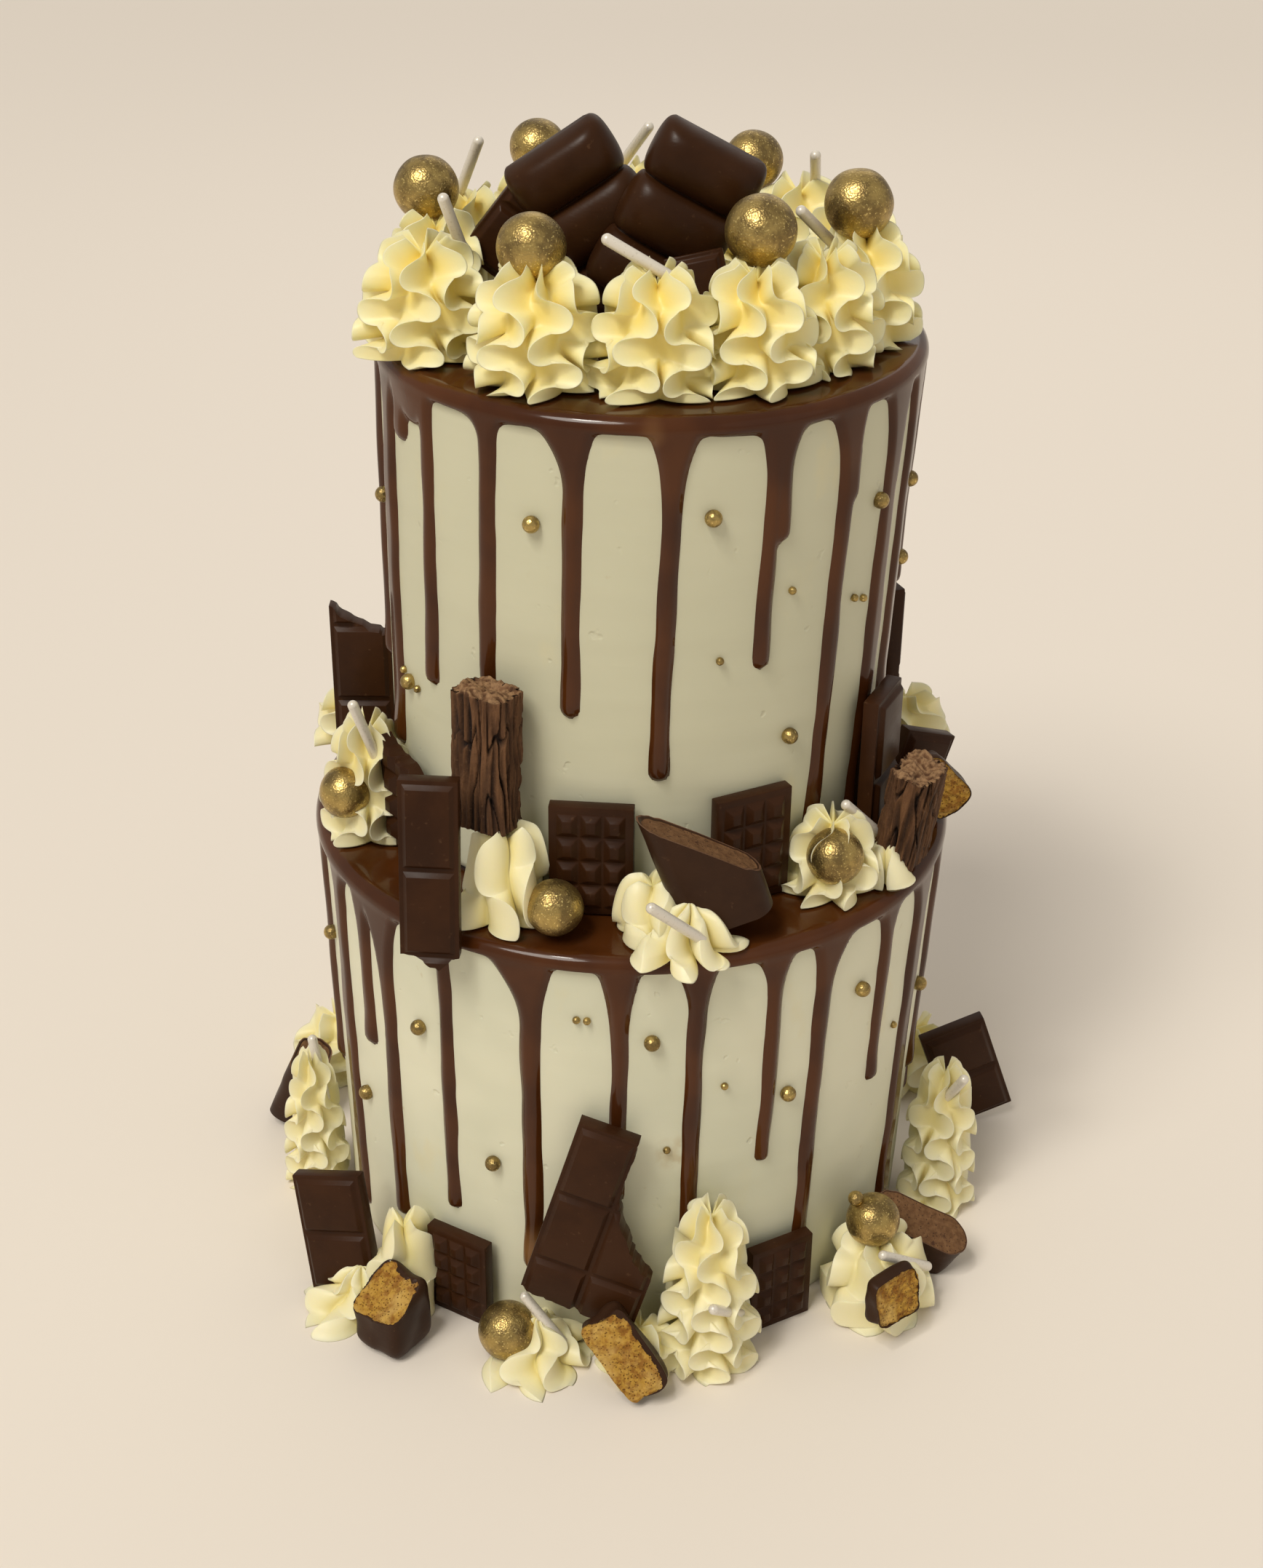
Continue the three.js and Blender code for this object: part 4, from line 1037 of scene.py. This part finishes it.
# The top
BACK = {"ribs": 6, "fine": (22, 80)}
ROSETTES = [
    swirl(-67, 75, 23, 36),
    swirl(-31, 66, 23, 37),
    swirl(1, 61, 22, 37),
    swirl(28, 64, 21, 37),
    swirl(55, 63, 20, 37),
    swirl(80, 67, 20, 37),
]
ROSETTES += [swirl(at, 68, 20, 36, **BACK) for at in range(107, 275, 27)]
TOP_RODS = [
    ((-57.8, -24.4, 29.7), (-62.9, -33.8, 48.9)),
    ((-61.6, 33.6, 34.7), (-54.9, 22.5, 52.4)),
    ((3.7, -58.9, 32.7), (-15.6, -59.8, 44.2)),
    ((55.4, -8.1, 28.7), (43.8, -21, 42.4)),
    ((54.4, 50, 31.7), (52.6, 33.5, 45.9)),
    ((-9.6, 69.6, 33.7), (0, 56.7, 50)),
]
add_cream("top", "top_cream_ring", ROSETTES, TOP_RODS)
for number in range(1, 7):
    add_ball(f"top_ball_{number}", number)
add_lobed("top_lobed_bar_left", at=-90.7, r=17.4, lift=1.4, turn=90.7, roll=-33)
add_lobed("top_lobed_bar_right", at=28.4, r=14.5, lift=4, turn=-28.4, roll=28)
add_bar("top", "top_bar_bit_left", slab(1, 2, 20, 20), at=-95, r=52.8, turn=95, lift=9, roll=38)
add_bar("top", "top_bar_bit_right", slab(1, 1, 17, 29), at=25.7, r=42, turn=-25.7, lean=14, roll=-12)

# The ledge
add_bar("ledge", "ledge_slab_left", broken(slab(1, 3, 19.6, 28.5), SLAB_TOP_BREAK), at=-97, r=95, turn=97)
add_cream("ledge", "ledge_cream_left", [swirl(-71, 94, 17, 44)], [((-86.4, -37.2, 33.9), (-91.9, -43, 54.9))])
add_ball("ledge_ball_left", 7)
add_bar("ledge", "ledge_mini_bar_broken", broken(mini_bar(), MINI_TOP_BREAK), soft=0.3, at=-58, r=87, turn=6)
front_slab = broken(slab(1, 3, 17.5, 29), SLAB_FOOT_BREAK)
add_bar("ledge", "ledge_slab_front", front_slab, at=-31, r=123, lift=-9, turn=27, lean=8)
add_flake("ledge_flake_left", 46, 4, at=-29.5, r=93, lift=31, lean=2)
LOOPED = {"ribs": 5, "layers": 1.7, "depth": 0.5, "plump": 0.6, "seed": 4}
add_cream("ledge", "ledge_cream_loop", [swirl(-25, 94, 17, 34, **LOOPED)])
add_ball("ledge_ball_front", 8)
add_bar("ledge", "ledge_mini_bar_front", mini_bar(), soft=0.3, at=-8.8, r=83.5, turn=4)
STAR = {"form": "star", "crown": 0}
star = [
    swirl(10, 104, 22, 16, **STAR, ribs=7, layers=1.3, swing=0.45, depth=0.65, plump=0.9),
    swirl(4, 94, 14, 20, ribs=4, layers=1, plump=0.8),
]
add_cream("ledge", "ledge_cream_star", star, [((18.5, -113.9, 11.9), (4.5, -122.5, 27.2))], group=2)
FRONT_BAR = {"narrow": 0.97, "slant": -30, "lift": 1, "turn": -14, "roll": -20, "lean": 4}
add_mousse("ledge", "ledge_mousse_bar", 31, 14, 28, at=17.7, r=100, **FRONT_BAR)
add_bar("ledge", "ledge_mini_bar_right", mini_bar(), soft=0.3, at=27.4, r=82.5)
right = [swirl(45, 92, 18, 28, layers=3), swirl(56, 101, 13, 15, **STAR, ribs=4, layers=0.8, plump=1)]
add_cream("ledge", "ledge_cream_right", right, [((80.7, -54.1, 13.9), (68, -63.1, 29.9))], group=2)
add_ball("ledge_ball_right", 9)
add_bar("ledge", "ledge_slab_right", slab(1, 2, *SLAB_TALL), at=65, r=90)
add_bar("ledge", "ledge_slab_back", slab(1, 2, 21, 32), at=112, r=95.5)
add_flake("ledge_flake_right", 34, 9, at=59.5, r=103.5, lift=3, lean=-8)
LEDGE_BREAK = {"face": (-0.2, -1, 0.1), "reach": 0.5}
LEDGE_PLACE = {"at": 80, "r": 114, "lift": 0.5, "turn": -70, "roll": -40}
add_honeycomb("ledge", "ledge_honeycomb", (17, 10, 25), 6, **LEDGE_BREAK, **LEDGE_PLACE)
add_bar("ledge", "ledge_slab_leaning", slab(1, 1, 20, 20), at=88, r=97, turn=-60, roll=20)
LOW_BACK = {"ribs": 6, "layers": 2.8, "fine": (20, 60)}
ledge_back = [swirl(110 + 17.5 * i, 106, 18.5, 22, **LOW_BACK) for i in range(9)]
add_cream("ledge", "ledge_cream_back", ledge_back, group=5)
add_ball("ledge_ball_back", 10)
add_bar("ledge", "ledge_slab_rear", slab(1, 2, *SLAB_TALL), at=205, r=96)

# The foot of the cake
CONE = {"form": "cone", "ribs": 7, "layers": 7.5, "fine": (24, 130), "crown": 0.1}
add_mousse("base", "base_mousse_left", 26, 14, 27, at=-98, r=132, lean=20)
LEFT_ROD = ((-111.1, -23.3, 45), (-114.4, -21.4, 67.2))
add_cream("base", "base_cream_left", [swirl(-79, 117, 12.5, 62, **CONE)], [LEFT_ROD])
add_bar("base", "base_slab_left", slab(1, 2, *SLAB_SMALL), at=-49, r=128.5, turn=30, roll=-12, lean=10)
mound = [
    swirl(-46, 127, 25, 16, **STAR, ribs=8, layers=2.3, swing=0.5, depth=0.5, plump=0.7),
    swirl(-41, 116, 15, 40, ribs=4, layers=2.2, swing=0.4, plump=0.5),
]
add_cream("base", "base_cream_mound", mound, group=2)
CUBE_BREAK = {"face": (-0.12, -0.42, 0.9), "reach": 0.6, "square": 6}
add_honeycomb("base", "base_honeycomb_cube", (22, 21, 28), 2, **CUBE_BREAK, at=-36, r=134)
add_bar("base", "base_mini_bar_left", mini_bar(0.9), soft=0.3, at=-31, r=109)
add_ball("base_ball_front", 11)
front = [swirl(-14, 118, 24, 17, **STAR, ribs=7, layers=2.3, swing=0.55, depth=0.5, plump=0.55)]
add_cream("base", "base_cream_front", front, [((-20.9, -116.6, 8.9), (-34.3, -113, 26.7))])
add_cream("base", "base_cream_behind", [swirl(3, 119, 15, 20, ribs=6, layers=2.5)])
leaning_slab = broken(slab(2, 3, 19.5, 27.5), SLAB_SIDE_BREAK)
add_bar("base", "base_slab_broken", leaning_slab, at=-9, r=118.5, lift=18, roll=16, lean=4)
WEDGE_BREAK = {"face": (-0.12, -1, 0.1), "reach": 0.5, "square": 9, "rim": 0.42}
WEDGE_PLACE = {"at": 4.4, "r": 137, "roll": -33, "lean": 20}
add_honeycomb("base", "base_honeycomb_wedge", (17, 13, 33), 3, **WEDGE_BREAK, **WEDGE_PLACE)
CONE_ROD = ((39, -121, 25), (29.5, -134.5, 39))
add_cream("base", "base_cream_cone", [swirl(14.5, 118, 18, 68, **CONE)], [CONE_ROD])
add_bar("base", "base_mini_bar_right", mini_bar(0.9), soft=0.3, at=29.5, r=110)
RIGHT_ROD = ((103.6, -89.2, 19.5), (88.1, -99.2, 32.3))
right = [swirl(46.5, 124, 22, 32, ribs=6, layers=2.6, depth=0.3, swing=0.42, plump=0.45)]
add_cream("base", "base_cream_right", right, [RIGHT_ROD])
add_ball("base_ball_right", 12)
RIGHT_BREAK = {"face": (-0.1, -1, 0.35), "reach": 0.35, "square": 7}
add_honeycomb("base", "base_honeycomb_right", (20, 12, 18), 8, **RIGHT_BREAK, at=41, r=142, lift=12)
RIGHT_BAR = {"narrow": 0.55, "slant": -22, "rim": 0.2, "turn": -75, "lean": -20, "roll": -6}
add_mousse("base", "base_mousse_right", 31, 15, 20, at=60, r=127.5, **RIGHT_BAR)
BACK_ROD = ((117.3, -31.4, 47), (122.9, -43.1, 67))
add_cream("base", "base_cream_cone_right", [swirl(76, 121, 15, 64, **CONE)], [BACK_ROD])
add_bar("base", "base_slab_right", slab(1, 2, *SLAB_SMALL), at=98, r=142, turn=-88, roll=-20)
BASE_BACK = {"ribs": 6, "layers": 3.4, "fine": (20, 64)}
base_back = [swirl(113 + 16.5 * i, 127, 20.5, 27, **BASE_BACK) for i in range(9)]
add_cream("base", "base_cream_back", base_back, group=5)
add_ball("base_ball_rear", 13)
add_bar("base", "base_slab_rear", slab(1, 2, *SLAB_SMALL), at=150, r=146, lean=10)

# Floor, light and camera


FLOOR_HALF = 6
FLOOR_COLOUR = (0.81, 0.745, 0.665, 1)
LIT = (0, 0, 0.15)
IMAGE_TALL = 2155
FOCAL_PIXELS = 3100
SENSOR = 36
EYE = (0, -0.69708, 0.54848)
YAW, PITCH, ROLL = 0.0025294, 0.5074795, 0.010516


def add_floor():
    mesh = bmesh.new()
    bmesh.ops.create_grid(mesh, x_segments=1, y_segments=1, size=FLOOR_HALF)
    data = bpy.data.meshes.new("floor")
    mesh.to_mesh(data)
    mesh.free()
    floor = bpy.data.objects.new("floor", data)
    bpy.context.scene.collection.objects.link(floor)
    look = Look("floor", Roughness=0.9)
    look.shader.inputs["Base Color"].default_value = FLOOR_COLOUR
    data.materials.append(look.material)


def add_light(name, place, size, power, colour):
    data = bpy.data.lights.new(name, "AREA")
    data.shape = "DISK"
    data.size = size
    data.energy = power
    data.color = colour
    light = bpy.data.objects.new(name, data)
    bpy.context.scene.collection.objects.link(light)
    light.location = place
    light.rotation_euler = (Vector(LIT) - Vector(place)).to_track_quat("-Z", "Y").to_euler()


def add_window(source, power, spread, colour):
    """Daylight from one side."""
    sun = bpy.data.lights.new("window", "SUN")
    sun.energy = power
    sun.angle = rad(spread)
    sun.color = colour
    window = bpy.data.objects.new("window", sun)
    window.rotation_euler = (-Vector(source)).to_track_quat("-Z", "Y").to_euler()
    bpy.context.scene.collection.objects.link(window)


def add_room(colour, strength):
    """The pale light of the room all round."""
    world = bpy.data.worlds.new("room")
    world.use_nodes = True
    background = world.node_tree.nodes["Background"]
    background.inputs["Color"].default_value = (*colour, 1)
    background.inputs["Strength"].default_value = strength
    bpy.context.scene.world = world


def add_camera():
    level = math.cos(PITCH)
    forward = Vector((math.sin(YAW) * level, math.cos(YAW) * level, -math.sin(PITCH)))
    right = Vector((math.cos(YAW), -math.sin(YAW), 0))
    up = right.cross(forward)
    tilted = math.cos(ROLL) * right + math.sin(ROLL) * up
    upright = -math.sin(ROLL) * right + math.cos(ROLL) * up
    data = bpy.data.cameras.new("camera")
    data.sensor_fit = "VERTICAL"
    data.sensor_height = SENSOR
    data.lens = FOCAL_PIXELS / IMAGE_TALL * SENSOR
    camera = bpy.data.objects.new("camera", data)
    bpy.context.scene.collection.objects.link(camera)
    turn = Matrix((tilted, upright, -forward)).transposed().to_4x4()
    camera.matrix_world = Matrix.Translation(EYE) @ turn
    bpy.context.scene.camera = camera


add_floor()
add_light("key", (-0.35, -0.5, 1.3), 0.14, 2.5, (1.0, 0.96, 0.88))
add_light("fill", (1.3, -1.0, 1.0), 1.4, 0.7, (1.0, 0.95, 0.88))
add_light("back", (0.2, 1.3, 1.2), 1.2, 2, (1.0, 0.95, 0.9))
add_window((-0.48, -0.62, 1.0), 1.6, 24, (1.0, 0.95, 0.87))
add_room((1.0, 0.94, 0.86), 0.47)
bpy.context.scene.view_settings.view_transform = "Standard"
add_camera()
